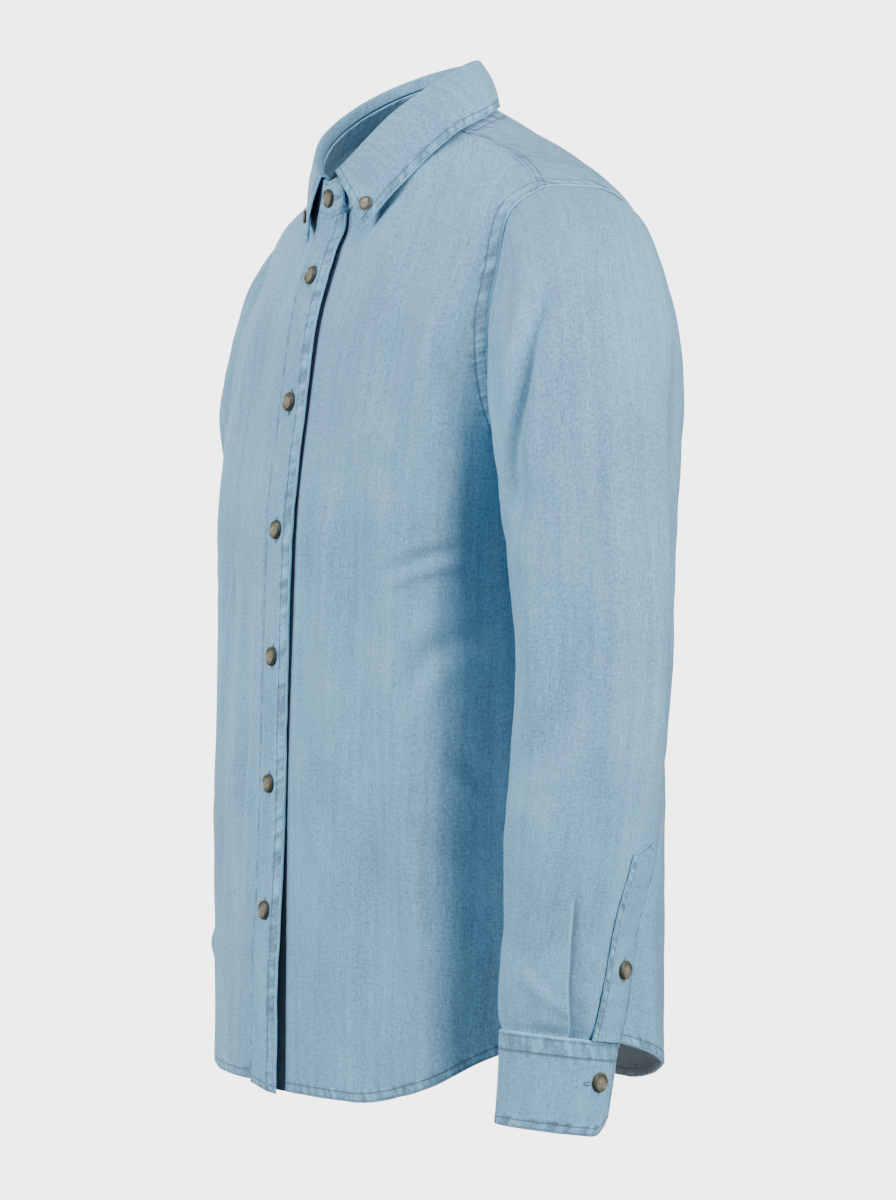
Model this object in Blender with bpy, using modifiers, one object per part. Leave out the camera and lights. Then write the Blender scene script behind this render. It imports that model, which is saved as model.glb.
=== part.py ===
"""A button-down denim shirt, upright and hollow, as one named cloth wall for each cut piece.

Metres, +Z up. The wearer faces -Y, so the wearer's left is +X. The origin is level with the
points where the shoulders meet the neck, midway between them, inside the neck opening.
The tables and sizes below are in millimetres, and MM turns them into metres.

The body is one smooth surface, body(angle, height). Its angle runs round the wearer, with 0 at
the left side, -90 at centre front and 90 at centre back. Its height names a ring by the ring's
height at the side: below the shoulder the rings lie nearly level, and above it they close in
over the shoulders to the neck. Each panel is a patch of that surface between its seams.
"""

import bmesh
import bpy
import numpy as np
from mathutils import Vector

MM = 0.001

# Cloth
CLOTH = 1.3
BAND_CLOTH = 1.9
SEAM_GAP = 0.7
ARMHOLE_GAP = 1.0

# Rings of the body: heights at the side, centre front and centre back, half the width,
# the front and back of the ring, and how square each half of it is (2 is an ellipse).
BODY_RINGS = (
    # side, front, back, half_width, front_y, back_y, front_square, back_square
    (-660, -660, -660, 196, -125, 113, 2.40, 2.40),
    (-520, -520, -520, 195, -124, 114.5, 2.40, 2.40),
    (-400, -400, -400, 193, -122, 114, 2.50, 2.50),
    (-320, -320, -320, 188, -119, 112, 2.65, 2.65),
    (-240, -240, -240, 187, -115, 112, 2.90, 2.90),
    (-180, -180, -180, 187, -107, 111, 2.95, 3.00),
    (-122, -122, -122, 182, -98, 107, 2.80, 2.95),
    (-80, -94, -70, 179, -90, 98, 2.15, 2.60),
    (-50, -82, -40, 178, -86, 80, 1.78, 2.45),
    (-42, -78, -30, 172, -85, 73, 1.66, 2.35),
    (-18, -64, 3, 122, -80.2, 53, 1.50, 2.15),
    (0, -53, 24.5, 68, -78.3, 27, 2.00, 2.05),
)

# Under each arm the cloth falls in towards the waist. The hollow is full between two angles from
# the side, counted towards the front, and fades to nothing at two more.
ARM_VALLEY = (
    # height, depth
    (-660, 15),
    (-560, 19),
    (-440, 24),
    (-300, 24),
    (-220, 14),
    (-160, 4),
    (-120, 0),
    (0, 0),
)
VALLEY_FULL = (-6, 14)
VALLEY_ENDS = (-24, 32)

# Nodes of the left armhole, from the underarm up the front and down the back.
ARMHOLE_NODES = (
    # angle, height
    (0, -233),
    (-12, -213),
    (-18.6, -172),
    (-20, -122),
    (-14.5, -62),
    (-5.5, -43.5),
    (2, -43.5),
    (12, -50),
    (20.5, -74),
    (22, -130),
    (20, -180),
    (12, -217),
)
YOKE_FRONT_NODE = 5
YOKE_BACK_NODE = 8
NECK_HEIGHT = 0
YOKE_NECK_ANGLE = 2

# How much of the way from side height to middle height a ring still keeps, front and back.
CROWN_POWERS = (1.4, 2)

# Shirttail hem
HEM_SIDE = -577
HEM_FRONT_DROP = 46
HEM_RIGHT_RAISE = 6
HEM_FRONT_SPAN = 50
HEM_FRONT_POWER = 1.5
HEM_BACK_DROP = 44
HEM_BACK_SPAN = 65
HEM_BACK_POWER = 1.3

# Button stand, right over left
PLACKET_HALF = 16
PLACKET_DROPS = (-2.0, 3.0)
PLACKET_COLUMNS = 4
UNDER_INSET = 2
UNDER_COLUMNS = 3
LAP_LIFTS = (
    # height, lift, fade_width
    (-660, 8.6, 80),
    (-540, 7.8, 75),
    (-500, 5.6, 70),
    (-300, 4.8, 60),
    (-120, 5.6, 45),
    (-40, 5.6, 25),
    (0, 4.2, 22),
)

# Rings of the collar, with the same columns as the body's.
STAND_FOOT = (1.2, -52.0, 25.7, 67, -78.0, 26.4, 2.00, 2.05)
STAND_TOP = (26, -29, 43, 56, -79.5, 15.5, 2.00, 2.05)
STAND_CLOTH = 2.0
STAND_LAP = 15
STAND_LIFT = 3.8
LEAF_CLOTH = 1.6
# The collar has slumped a little on the wearer's right.
COLLAR_SLUMP = 8
COLLAR_SLUMP_ANGLE = 184

# Left sleeve rings below the armhole: the inner and outer ends of each ring, its front and
# back, and how much higher its front is than its back.
SLEEVE_RINGS = (
    # run, inner_x, inner_z, outer_x, outer_z, front_y, back_y, front_rise
    (0.00, 187, -233, 178, -43, -60, 62, 0),
    (0.02, 189.5, -234, 189, -49, -63, 64, 0),
    (0.07, 191.5, -241, 213, -69.5, -71, 62, 0),
    (0.16, 191.5, -252, 241, -117, -77, 56, 0),
    (0.26, 191.5, -272, 261, -180, -77, 43.5, 2),
    (0.36, 191.5, -302, 272, -245, -76, 36, 3),
    (0.46, 192.5, -345, 278, -315, -72, 31, 4),
    (0.60, 194.5, -405, 280, -392, -76, 23.5, 5),
    (0.74, 198, -463, 279, -458, -82, 15, 6),
    (0.84, 199, -505, 275, -503, -81, 3, 7),
    (0.90, 198.5, -530, 274, -529, -83, 0, 8),
    (0.95, 199, -552, 272.5, -551, -85, -2, 9),
    (1.00, 200, -572, 269, -572, -83, -6, 10),
)
RIGHT_SLEEVE_SWING = 37
SWING_FULL_RUN = 0.35

# How many rows and columns of faces each stretch of cloth has. Panels that meet at a seam
# take the same count there, so their corners face each other across it.
SIDE_ROWS = 10
ARM_FRONT_ROWS = 11
ARM_YOKE_ROWS = 7
ARM_BACK_ROWS = 10
YOKE_SEAM_COLUMNS = 6
FRONT_TOP_POWER = 8
NECK_COLUMNS = 14
BACK_COLUMNS = 28
ARM_STEPS = (
    # last armhole node of the stretch, rows of faces
    (YOKE_FRONT_NODE, ARM_FRONT_ROWS),
    (YOKE_BACK_NODE, ARM_YOKE_ROWS),
    (len(ARMHOLE_NODES), ARM_BACK_ROWS),
)

# Rows of the sleeves, close together at the head.
SLEEVE_ROWS = 22
SLEEVE_ROW_SPREAD = 0.45
SLEEVE_LENGTH = 560
HEAD_RUN = 0.3

# The one tuck at the cuff: where it lies round the sleeve, its two sides and how high it starts.
TUCK_TURN = -29
TUCK_START_RUN = 0.80
TUCK_RISE = 2.4
TUCK_SINK = 1.8
TUCK_SPREAD = 20
TUCK_COLUMN_PULL = 13
TUCK_COLUMN_REACH = 14

# The largest folds. Each lies between two places on a panel's own map, bowed sideways: u runs
# round the panel from its middle and v up it. A ridge is positive and a trough is negative.
FRONT_FOLDS = (
    # start_u, start_v, end_u, end_v, bow, half_width, height
    (101, -60, 106, -170, 7, 17, -4.4),
    (125, -108, 174, -236, -4, 16, 3.6),
    (84, -225, 104, -402, -6, 16, -3.6),
    (100, -385, 115, -560, 3, 16, -3.4),
    (50, -215, 70, -378, 3, 13, 2.3),
    (140, -364, 176, -330, 6, 12, -2.3),
)
RIGHT_FRONT_FOLDS = (
    (96, -60, 118, -182, 8, 16, -3.6),
    (128, -120, 150, -250, -4, 15, 3.1),
    (90, -250, 100, -420, -6, 15, -3.0),
    (100, -400, 112, -566, 3, 15, -2.9),
)
BACK_FOLDS = (
    (-62, -88, -70, -420, 6, 18, -3.6),
    (4, -130, -6, -600, 5, 20, -2.9),
    (66, -92, 78, -520, -6, 18, -3.9),
    (104, -150, 96, -610, 5, 18, 2.9),
    (-104, -160, -98, -590, -5, 18, 2.9),
    (134, -420, 130, -606, 4, 18, -2.9),
    (-136, -400, -130, -600, -4, 18, -3.1),
)
SLEEVE_FOLDS = (
    # u is counted from the outer side, negative towards the front
    (-40, -70, -80, -124, -5, 13, -5.5),
    (-76, -112, -74, -184, -12, 13, -5.7),
    (-26, -196, -36, -280, 0, 15, -3.4),
    (-34, -268, -62, -362, 5, 14, -3.6),
    (-76, -200, -58, -318, 6, 13, 2.9),
    (-48, -372, -42, -470, -3, 14, 2.1),
    (34, -190, 30, -400, -4, 15, 2.1),
    (52, -120, 44, -300, 4, 15, -2.9),
    (70, -70, 54, -170, 5, 13, -2.9),
)
RIGHT_FOLD_SHARE = 0.85

# A trough pushes up a low ridge on each side of it, this far out (in half widths) and this wide.
SIDE_RIDGE = 0.30
SIDE_RIDGE_PLACE = 2.1
SIDE_RIDGE_SPREAD = 0.8
FOLD_TAPER = 0.06
FOLD_TAPER_POWER = 0.7

# Folds die out over these widths beside a panel's inner edge, below its top seam and at the two
# ends of a sleeve. A sleeve is plain this far round its placket, in degrees.
CALM_MARGIN = 4
CALM_INNER = 22
CALM_TOP = 30
CALM_HEAD = 20
CALM_FOOT = 24
CALM_PLACKET = 26
CALM_PLACKET_FADE = 8

# The map of a panel measures v along the chest, from this height, at this angle.
MAP_ANGLE = -60
MAP_HEIGHT = -122
MAP_SAMPLES = 20
MAP_ROWS = 400

# Cuffs: rings like the sleeve's, wound from the lapped end at the back round the front to the
# end beneath it. The lower corner of each end is clipped.
CUFF_RINGS = (
    # down, then the sleeve's columns
    (0, 200.5, -572.4, 268, -572.4, -82.5, -6.5, 10),
    (1, 201, -630, 266, -630, -85.5, -16, 10),
)
CUFF_CLOTH = 2.2
CUFF_END_TURN = 45
CUFF_UNDER_TURN = -342
CUFF_SINK = 3.2
CUFF_SINK_START = 235
CUFF_SINK_END = 290
CUFF_ROWS = 3
CUFF_COLUMNS = 24
CUFF_CLIP = (0.79, 0.88)

# Sleeve plackets: pointed strips that lie on the back of the outer side of each sleeve.
GAUNTLET_CLOTH = 1.4
GAUNTLET_HALF = 13.5
GAUNTLET_POINT_HALF = 1.0
GAUNTLET_LINE = (
    # run, turn of the strip's middle
    (0.70, 37),
    (0.80, 32),
    (0.90, 27),
    (1.0, 22),
)
GAUNTLET_TOP_RUN = 0.738
GAUNTLET_POINT_RUN = 0.725
GAUNTLET_FOOT_RUN = 0.985
GAUNTLET_ROWS = 8
GAUNTLET_COLUMNS = 3
GAUNTLET_LIFT = 2.2

# Collar
STAND_END_COLUMNS = 2
STAND_ROWS = 2
STAND_CORNER_SHARE = 0.72
STAND_LIFT_REACH = 55
LEAF_COLUMNS = 28
LEAF_ROLL = (
    # up, out
    (0.8, 0.3),
    (5.0, 0.2),
    (8.6, 0.9),
    (9.6, 3.0),
    (8.6, 5.2),
)
LEAF_DROP_ROWS = 4
LEAF_BULGE = 1.8
LEAF_FRONT_ANGLE = -78
LEAF_FRONT_LIFT = 1.0
LEAF_LIFT_START = 0.62
# The roll flattens towards the front, where the leaf folds straight over the stand.
LEAF_FLAT_START = 0.70
LEAF_FLAT_SHARE = 0.72
LEAF_EDGE = (
    # share of the way from centre back to the point, then x, y, z of the leaf's lower edge
    (-0.2, -45, 20, 21),
    (0, 0, 31.5, 24.5),
    (0.2, 45, 20, 21),
    (0.4, 71, -4, 11),
    (0.6, 78.5, -33, -3),
    (0.8, 67, -62, -32),
    (1.0, 47, -82.5, -62),
)
LEAF_RIGHT_POINT_SHIFT = (16, -2.5, -4)
LEAF_RIGHT_SHIFT_START = 0.8

# Buttons: a turned disc with a raised rim, and where each one sits.
BUTTON_PROFILE = (
    # share of the radius, height
    (0.0, 1.5),
    (0.58, 1.4),
    (0.70, 2.3),
    (0.86, 2.4),
    (1.0, 1.5),
    (0.95, 0.6),
    (0.7, 0.0),
    (0.0, 0.0),
)
BUTTON_STEPS = 12
FRONT_BUTTON = 6.35
POINT_BUTTON = 4.6
SLEEVE_BUTTON = 5.9
FRONT_BUTTON_HEIGHTS = (-79, -175.5, -258.5, -341, -423.5, -506)
STAND_BUTTON_SHARE = 0.5
POINT_BUTTON_SHARE = 0.955
POINT_BUTTON_DROP = 0.80
CUFF_BUTTON_TURN = 17
CUFF_BUTTON_DOWN = 0.42
SLEEVE_BUTTON_ROW = 5.5
BUTTON_GAP = 0.4

# Colours, and how rough each surface is
DENIM = (0.36, 0.50, 0.60)
HORN = (0.20, 0.19, 0.16)
DENIM_ROUGHNESS = 0.9
HORN_ROUGHNESS = 0.35

# Points this close are made one, where a grid closes on itself.
JOIN_DISTANCE = 0.015


def smooth_columns(rows, at):
    """Each column of the rows at these values of the first column, by a cubic through the rows."""
    rows = np.array(rows, float)
    known = rows[:, 0]
    step = np.diff(known)
    slope = np.diff(rows, axis=0) / step[:, None]
    tangent = np.empty_like(rows)
    before, after = step[:-1, None], step[1:, None]
    tangent[1:-1] = (slope[:-1] * after + slope[1:] * before) / (before + after)
    tangent[0] = slope[0]
    tangent[-1] = slope[-1]
    at = np.clip(np.asarray(at, float), known[0], known[-1])
    low = np.clip(np.searchsorted(known, at, side="right") - 1, 0, len(step) - 1)
    width = step[low][..., None]
    part = ((at - known[low]) / step[low])[..., None]
    ease = part * part * (3 - 2 * part)
    bend_low = part * (1 - part) ** 2
    bend_high = part * part * (part - 1)
    return (
        rows[low] * (1 - ease)
        + rows[low + 1] * ease
        + width * (bend_low * tangent[low] + bend_high * tangent[low + 1])
    )


def eased(part):
    """A soft step from 0 to 1, level at both ends."""
    part = np.clip(part, 0, 1)
    return part * part * (3 - 2 * part)


def ring_points(ring, angle):
    """Points of a ring at these angles. The last axis of ring holds its eight columns."""
    side, front, back, half_width, front_y, back_y, front_square, back_square = np.moveaxis(ring, -1, 0)
    turn = np.radians(angle)
    across = np.cos(turn)
    along = np.sin(turn)
    square = np.where(along < 0, front_square, back_square)
    half_depth = (back_y - front_y) / 2
    reach = (np.abs(across / half_width) ** square + np.abs(along / half_depth) ** square) ** (-1 / square)
    middle = (front + back) / 2
    at_front, at_back = CROWN_POWERS
    crown = np.abs(across) ** np.where(along > 0, at_back, at_front)
    height = middle + (back - front) / 2 * along + (side - middle) * crown
    return np.stack([reach * across, (front_y + back_y) / 2 + reach * along, height], axis=-1)


def valley(angle, height):
    """How far the cloth falls in under the arm."""
    forward = np.degrees(np.arctan2(-np.sin(np.radians(angle)), np.abs(np.cos(np.radians(angle)))))
    at_back = eased((forward - VALLEY_ENDS[0]) / (VALLEY_FULL[0] - VALLEY_ENDS[0]))
    at_front = eased((VALLEY_ENDS[1] - forward) / (VALLEY_ENDS[1] - VALLEY_FULL[1]))
    return smooth_columns(ARM_VALLEY, height)[..., 1] * at_back * at_front


def body(angle, height):
    """Points of the body at these angles and heights."""
    angle, height = np.broadcast_arrays(np.asarray(angle, float), np.asarray(height, float))
    points = ring_points(smooth_columns(BODY_RINGS, height), angle)
    points[..., 0] -= np.sign(points[..., 0]) * valley(angle, height)
    return points


def body_normal(angle, height):
    angle, height = np.broadcast_arrays(np.asarray(angle, float), np.asarray(height, float))
    top = BODY_RINGS[-1][0]
    above = np.minimum(height + 1.0, top)
    round_step = body(angle + 0.5, height) - body(angle - 0.5, height)
    up_step = body(angle, above) - body(angle, above - 2.0)
    normal = np.cross(round_step, up_step)
    return normal / np.linalg.norm(normal, axis=-1, keepdims=True)


def lifted_body(angle, height, lift):
    return body(angle, height) + body_normal(angle, height) * np.asarray(lift)[..., None]


def front_angle(across, height):
    """The angle at which the ring of this height lies this far to the left of centre front."""
    ring = smooth_columns(BODY_RINGS, height)
    half_depth = (ring[..., 5] - ring[..., 4]) / 2
    return -90 + np.degrees(np.arctan2(across, half_depth))


def hem_height(angle):
    """The shirttail hem: highest at the sides, deep and nearly level at front and back."""
    from_side = np.abs((np.asarray(angle, float) + 90) % 180 - 90)
    at_back = np.sin(np.radians(angle)) > 0
    span = np.where(at_back, HEM_BACK_SPAN, HEM_FRONT_SPAN)
    drop = np.where(at_back, HEM_BACK_DROP, HEM_FRONT_DROP)
    power = np.where(at_back, HEM_BACK_POWER, HEM_FRONT_POWER)
    part = np.minimum(from_side / span, 1)
    return HEM_SIDE - drop * np.sin(part * np.pi / 2) ** power


def armhole(node):
    """Angle and height of the left armhole at these node numbers, by a closed cubic."""
    rows = np.array(ARMHOLE_NODES, float)
    count = len(rows)
    node = np.asarray(node, float)
    low = np.floor(node).astype(int)
    part = (node - low)[..., None]
    before, start, end, after = (rows[(low + step) % count] for step in (-1, 0, 1, 2))
    tangent_start = (end - before) / 2
    tangent_end = (after - start) / 2
    ease = part * part * (3 - 2 * part)
    return (
        start * (1 - ease)
        + end * ease
        + part * (1 - part) ** 2 * tangent_start
        + part * part * (part - 1) * tangent_end
    )


def armhole_nodes():
    """Node numbers of every corner round the armhole, shared by the panels and the sleeve."""
    nodes = [np.zeros(1)]
    start = 0
    for end, rows in ARM_STEPS:
        nodes.append(np.linspace(start, end, rows + 1)[1:])
        start = end
    return np.concatenate(nodes)


def chart_line(angles, heights):
    return np.stack(np.broadcast_arrays(np.asarray(angles, float), np.asarray(heights, float)), axis=-1)


def patch(bottom, top, left, right, top_power=1):
    """A grid of chart places between four edges that share their corners (a Coons patch).

    A higher top_power keeps the bends of the top edge near it.
    """
    across = np.linspace(0, 1, len(bottom))[None, :, None]
    up = np.linspace(0, 1, len(left))[:, None, None] ** top_power
    ruled = (1 - up) * bottom[None] + up * top[None]
    ruled = ruled + (1 - across) * left[:, None] + across * right[:, None]
    corners = (
        (1 - across) * (1 - up) * bottom[0]
        + across * (1 - up) * bottom[-1]
        + (1 - across) * up * top[0]
        + across * up * top[-1]
    )
    return ruled - corners


def inset(points, amount):
    """The grid with each edge drawn in along the cloth by this amount."""
    points = points.copy()
    for axis in (0, 1):
        rows = np.moveaxis(points, axis, 0)
        for edge, inner in ((0, 1), (-1, -2)):
            inward = rows[inner] - rows[edge]
            rows[edge] += inward / np.linalg.norm(inward, axis=-1, keepdims=True) * amount
    return points


def mirrored(points):
    return points * np.array([-1, 1, 1])


def front_chart(edge_x, hem_raise=0.0):
    """Chart of the left front from its side seam to a line this far left of centre front."""
    neck_angle = front_angle(edge_x, NECK_HEIGHT)
    hem_angle = front_angle(edge_x, HEM_SIDE - HEM_FRONT_DROP)
    columns = YOKE_SEAM_COLUMNS + NECK_COLUMNS
    bottom_angles = np.linspace(0, hem_angle, columns + 1)
    bottom = chart_line(bottom_angles, hem_height(bottom_angles))
    bottom[:, 1] += hem_raise * np.linspace(0, 1, columns + 1)
    side = chart_line(0, np.linspace(HEM_SIDE, ARMHOLE_NODES[0][1], SIDE_ROWS + 1))
    arm = armhole(armhole_nodes()[: ARM_FRONT_ROWS + 1])
    outer = np.concatenate([side, arm[1:]])
    seam_angles = np.linspace(arm[-1, 0], YOKE_NECK_ANGLE, YOKE_SEAM_COLUMNS + 1)
    seam = chart_line(seam_angles, np.linspace(arm[-1, 1], NECK_HEIGHT, YOKE_SEAM_COLUMNS + 1))
    neck = chart_line(np.linspace(YOKE_NECK_ANGLE, neck_angle, NECK_COLUMNS + 1), NECK_HEIGHT)
    top = np.concatenate([seam, neck[1:]])
    low = np.linspace(bottom[-1, 1], ARMHOLE_NODES[0][1], SIDE_ROWS + 1)
    high = np.linspace(ARMHOLE_NODES[0][1], NECK_HEIGHT, ARM_FRONT_ROWS + 1)
    heights = np.concatenate([low, high[1:]])
    inner = chart_line(front_angle(edge_x, heights), heights)
    inner[0, 0] = bottom[-1, 0]
    inner[-1, 0] = top[-1, 0]
    return patch(bottom, top, outer, inner, FRONT_TOP_POWER)


def panel_map(angle, height, middle):
    """Lengths of cloth round the ring from the panel's middle angle, and up the chest."""
    shares = np.linspace(0, 1, MAP_SAMPLES)
    path = body(middle + (angle - middle)[..., None] * shares, height[..., None])
    u = np.linalg.norm(np.diff(path, axis=-2), axis=-1).sum(-1) * np.sign(angle - middle)
    heights = np.linspace(BODY_RINGS[0][0], NECK_HEIGHT, MAP_ROWS)
    steps = np.linalg.norm(np.diff(body(MAP_ANGLE, heights), axis=0), axis=1)
    run = np.concatenate([[0], np.cumsum(steps)])
    start = np.interp(MAP_HEIGHT, heights, run)
    return np.stack([u, np.interp(height, heights, run) - start + MAP_HEIGHT], axis=-1)


def fold_height(folds, places):
    """How far the folds lift the cloth at these places of its map."""
    total = np.zeros(places.shape[:-1])
    for start_u, start_v, end_u, end_v, bow, half_width, height in folds:
        start = np.array([start_u, start_v], float)
        line = np.array([end_u, end_v]) - start
        length = np.linalg.norm(line)
        line /= length
        aside = np.array([-line[1], line[0]])
        reach = (places - start) @ line
        share = np.clip(reach / length, 0, 1)
        across = (places - start) @ aside - 4 * bow * share * (1 - share)
        near = np.hypot(across, reach - share * length) / half_width
        taper = np.sin(np.pi * (FOLD_TAPER + share * (1 - 2 * FOLD_TAPER))) ** FOLD_TAPER_POWER
        beside = SIDE_RIDGE * np.exp(-((near - SIDE_RIDGE_PLACE) ** 2) / SIDE_RIDGE_SPREAD)
        total += height * taper * (np.exp(-near * near) - beside)
    return total


def edge_lengths(points):
    """Lengths of cloth to each place of a grid from its left, right, bottom and top edge."""
    over = np.zeros(points.shape[:2])
    up = np.zeros(points.shape[:2])
    over[:, 1:] = np.cumsum(np.linalg.norm(np.diff(points, axis=1), axis=-1), axis=1)
    up[1:] = np.cumsum(np.linalg.norm(np.diff(points, axis=0), axis=-1), axis=0)
    return over, over[:, -1:] - over, up, up[-1:] - up


def folded_panel(angle, height, folds, middle, side=1, lift=0.0):
    """Points of a body panel with its folds, which die out at its inner edge and top seam."""
    points = body(angle, height)
    _, inner, _, top = edge_lengths(points)
    calm = eased((top - CALM_MARGIN) / CALM_TOP)
    if middle < 0:
        calm = calm * eased((inner - CALM_MARGIN) / CALM_INNER)
    places = panel_map(angle, height, middle) * np.array([side, 1])
    return points + body_normal(angle, height) * (fold_height(folds, places) * calm + lift)[..., None]


def lap_lift(angle, height):
    """How far the right front and its band stand off the left front."""
    lap = smooth_columns(LAP_LIFTS, height)
    to_right = np.maximum(-body(angle, height)[..., 0], 0)
    return lap[..., 1] * eased((PLACKET_HALF + lap[..., 2] - to_right) / lap[..., 2])


def front_left_points():
    chart = front_chart(PLACKET_HALF - UNDER_INSET)
    return inset(folded_panel(chart[..., 0], chart[..., 1], FRONT_FOLDS, -90), SEAM_GAP / 2)


def front_right_points():
    chart = front_chart(PLACKET_HALF, HEM_RIGHT_RAISE)
    angle = -180 - chart[..., 0]
    height = chart[..., 1]
    lift = lap_lift(angle, height)
    return inset(folded_panel(angle, height, RIGHT_FRONT_FOLDS, -90, -1, lift), SEAM_GAP / 2)


def band_chart(left_x, right_x, columns, foot_drops):
    """Angles and heights of a band, its foot this far below the hem at its two corners."""
    foot = HEM_SIDE - HEM_FRONT_DROP - np.linspace(*foot_drops, columns + 1)
    low = np.linspace(foot, ARMHOLE_NODES[0][1], SIDE_ROWS + 1)
    high = np.linspace(ARMHOLE_NODES[0][1], NECK_HEIGHT, ARM_FRONT_ROWS + 1)[1:, None]
    heights = np.concatenate([low, np.repeat(high, columns + 1, axis=1)])
    across = np.linspace(left_x, right_x, columns + 1)
    return front_angle(across[None, :], heights), heights


def placket_top_points():
    angle, height = band_chart(-PLACKET_HALF, PLACKET_HALF, PLACKET_COLUMNS, PLACKET_DROPS)
    lift = lap_lift(angle, height) + (BAND_CLOTH - CLOTH) / 2
    return inset(lifted_body(angle, height, lift), SEAM_GAP / 2)


def placket_under_points():
    half = PLACKET_HALF - UNDER_INSET
    angle, height = band_chart(-half, half, UNDER_COLUMNS, (0, 0))
    return inset(body(angle, height), SEAM_GAP / 2)


def back_points():
    arm = armhole(armhole_nodes()[ARM_FRONT_ROWS + ARM_YOKE_ROWS :])[::-1]
    side = chart_line(0, np.linspace(HEM_SIDE, ARMHOLE_NODES[0][1], SIDE_ROWS + 1))
    left = np.concatenate([side, arm[1:]])
    right = left * np.array([-1, 1]) + np.array([180, 0])
    bottom_angles = np.linspace(0, 180, BACK_COLUMNS + 1)
    bottom = chart_line(bottom_angles, hem_height(bottom_angles))
    top = chart_line(np.linspace(left[-1, 0], right[-1, 0], BACK_COLUMNS + 1), left[-1, 1])
    chart = patch(bottom, top, left, right)
    return inset(folded_panel(chart[..., 0], chart[..., 1], BACK_FOLDS, 90), SEAM_GAP / 2)


def yoke_points():
    start = ARM_FRONT_ROWS
    arm = armhole(armhole_nodes()[start : start + ARM_YOKE_ROWS + 1])
    far_arm = (arm * np.array([-1, 1]) + np.array([180, 0]))[::-1]
    seam = chart_line(np.linspace(arm[-1, 0], far_arm[0, 0], BACK_COLUMNS + 1), arm[-1, 1])
    outer = np.concatenate([arm, seam[1:], far_arm[1:]])
    neck_angles = np.linspace(YOKE_NECK_ANGLE, 180 - YOKE_NECK_ANGLE, len(outer))
    neck = chart_line(neck_angles, NECK_HEIGHT)
    ends = [
        chart_line(
            np.linspace(neck[at, 0], outer[at, 0], YOKE_SEAM_COLUMNS + 1),
            np.linspace(neck[at, 1], outer[at, 1], YOKE_SEAM_COLUMNS + 1),
        )
        for at in (0, -1)
    ]
    chart = patch(neck, outer, ends[0], ends[1])[::-1]
    return inset(body(chart[..., 0], chart[..., 1]), SEAM_GAP / 2)


def sleeve_wall(run, turn):
    """Points of the left sleeve clear of its head, the tuck included, on broadcast run and turn."""
    run, turn = np.broadcast_arrays(np.asarray(run, float), np.asarray(turn, float))
    rows = smooth_columns(SLEEVE_RINGS, run)
    _, inner_x, inner_z, outer_x, outer_z, front_y, back_y, rise = np.moveaxis(rows, -1, 0)
    across = np.cos(np.radians(turn))
    along = np.sin(np.radians(turn))
    swell = 1 + tuck_height(run, turn) / ((outer_x - inner_x) / 2)
    x = (outer_x + inner_x) / 2 + (outer_x - inner_x) / 2 * across * swell
    y = (back_y + front_y) / 2 + (back_y - front_y) / 2 * along * swell
    z = (outer_z + inner_z) / 2 + (outer_z - inner_z) / 2 * across - rise / 2 * along
    return np.stack([x, y, z], axis=-1)


def tuck_height(run, turn):
    """How far the folded edge of the tuck stands out, and how far the cloth beside it sinks."""
    depth = eased((run - TUCK_START_RUN) / (1 - TUCK_START_RUN))
    past = (turn - TUCK_TURN + 180) % 360 - 180
    lap = np.where(past < 0, TUCK_RISE, -TUCK_SINK) * np.exp(-np.abs(past) / TUCK_SPREAD)
    return depth * lap


def swung(points, run, side):
    """The right sleeve mirrors the left one, but hangs a little further back."""
    if side > 0:
        return points
    points = mirrored(points)
    points[..., 1] += RIGHT_SLEEVE_SWING * eased(np.broadcast_to(run, points.shape[:-1]) / SWING_FULL_RUN)
    return points


def tube_normal(points):
    """Outward normals of a sleeve's grid, whose first and last columns are one."""
    round_step = np.gradient(points, axis=1)
    round_step[:, 0] = round_step[:, -1] = points[:, 1] - points[:, -2]
    normal = np.cross(np.gradient(points, axis=0), round_step)
    return normal / np.linalg.norm(normal, axis=-1, keepdims=True)


def sleeve_fold_lift(points, run, turn, side):
    """Folds of a sleeve. They leave its two ends and the placket's place plain."""
    over = edge_lengths(points)[0]
    outer = np.array([np.interp(0, turns, lengths) for turns, lengths in zip(turn, over)])
    down = run * SLEEVE_LENGTH
    places = np.stack([over - outer[:, None], -down * np.ones_like(over)], axis=-1)
    calm = eased(down / CALM_HEAD) * eased((SLEEVE_LENGTH - down) / CALM_FOOT)
    placket_run, placket_turn = GAUNTLET_LINE[0]
    away = eased((np.abs(turn - placket_turn) - CALM_PLACKET) / CALM_PLACKET_FADE)
    calm = calm * np.where(run < placket_run, 1, away)
    return fold_height(SLEEVE_FOLDS, places) * calm * (1 if side > 0 else RIGHT_FOLD_SHARE)


def sleeve_points(side):
    """Rows close together at the head, where the sleeve bends, and columns drawn to the tuck."""
    nodes = armhole_nodes()
    part = np.linspace(0, 1, SLEEVE_ROWS + 1)
    run = (part * (1 - SLEEVE_ROW_SPREAD * (1 - part)))[:, None]
    turn = 180 + nodes * 360 / len(ARMHOLE_NODES)
    beside = (turn - 360 - TUCK_TURN - TUCK_COLUMN_REACH) / TUCK_COLUMN_REACH
    turn = turn - TUCK_COLUMN_PULL * np.exp(-beside * beside) * eased(run / TUCK_START_RUN)
    place = armhole(nodes)
    seam = body(place[:, 0], place[:, 1])
    share = eased(1 - run / HEAD_RUN)[..., None]
    points = sleeve_wall(run, turn)
    lift = sleeve_fold_lift(points, run, turn - 360, side)
    points = points + (seam - points[0]) * share
    points = points + tube_normal(points) * lift[..., None]
    step = points[1] - points[0]
    points[0] += step / np.linalg.norm(step, axis=-1, keepdims=True) * ARMHOLE_GAP
    points[:, -1] = points[:, 0]
    return swung(points, run, side)


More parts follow.
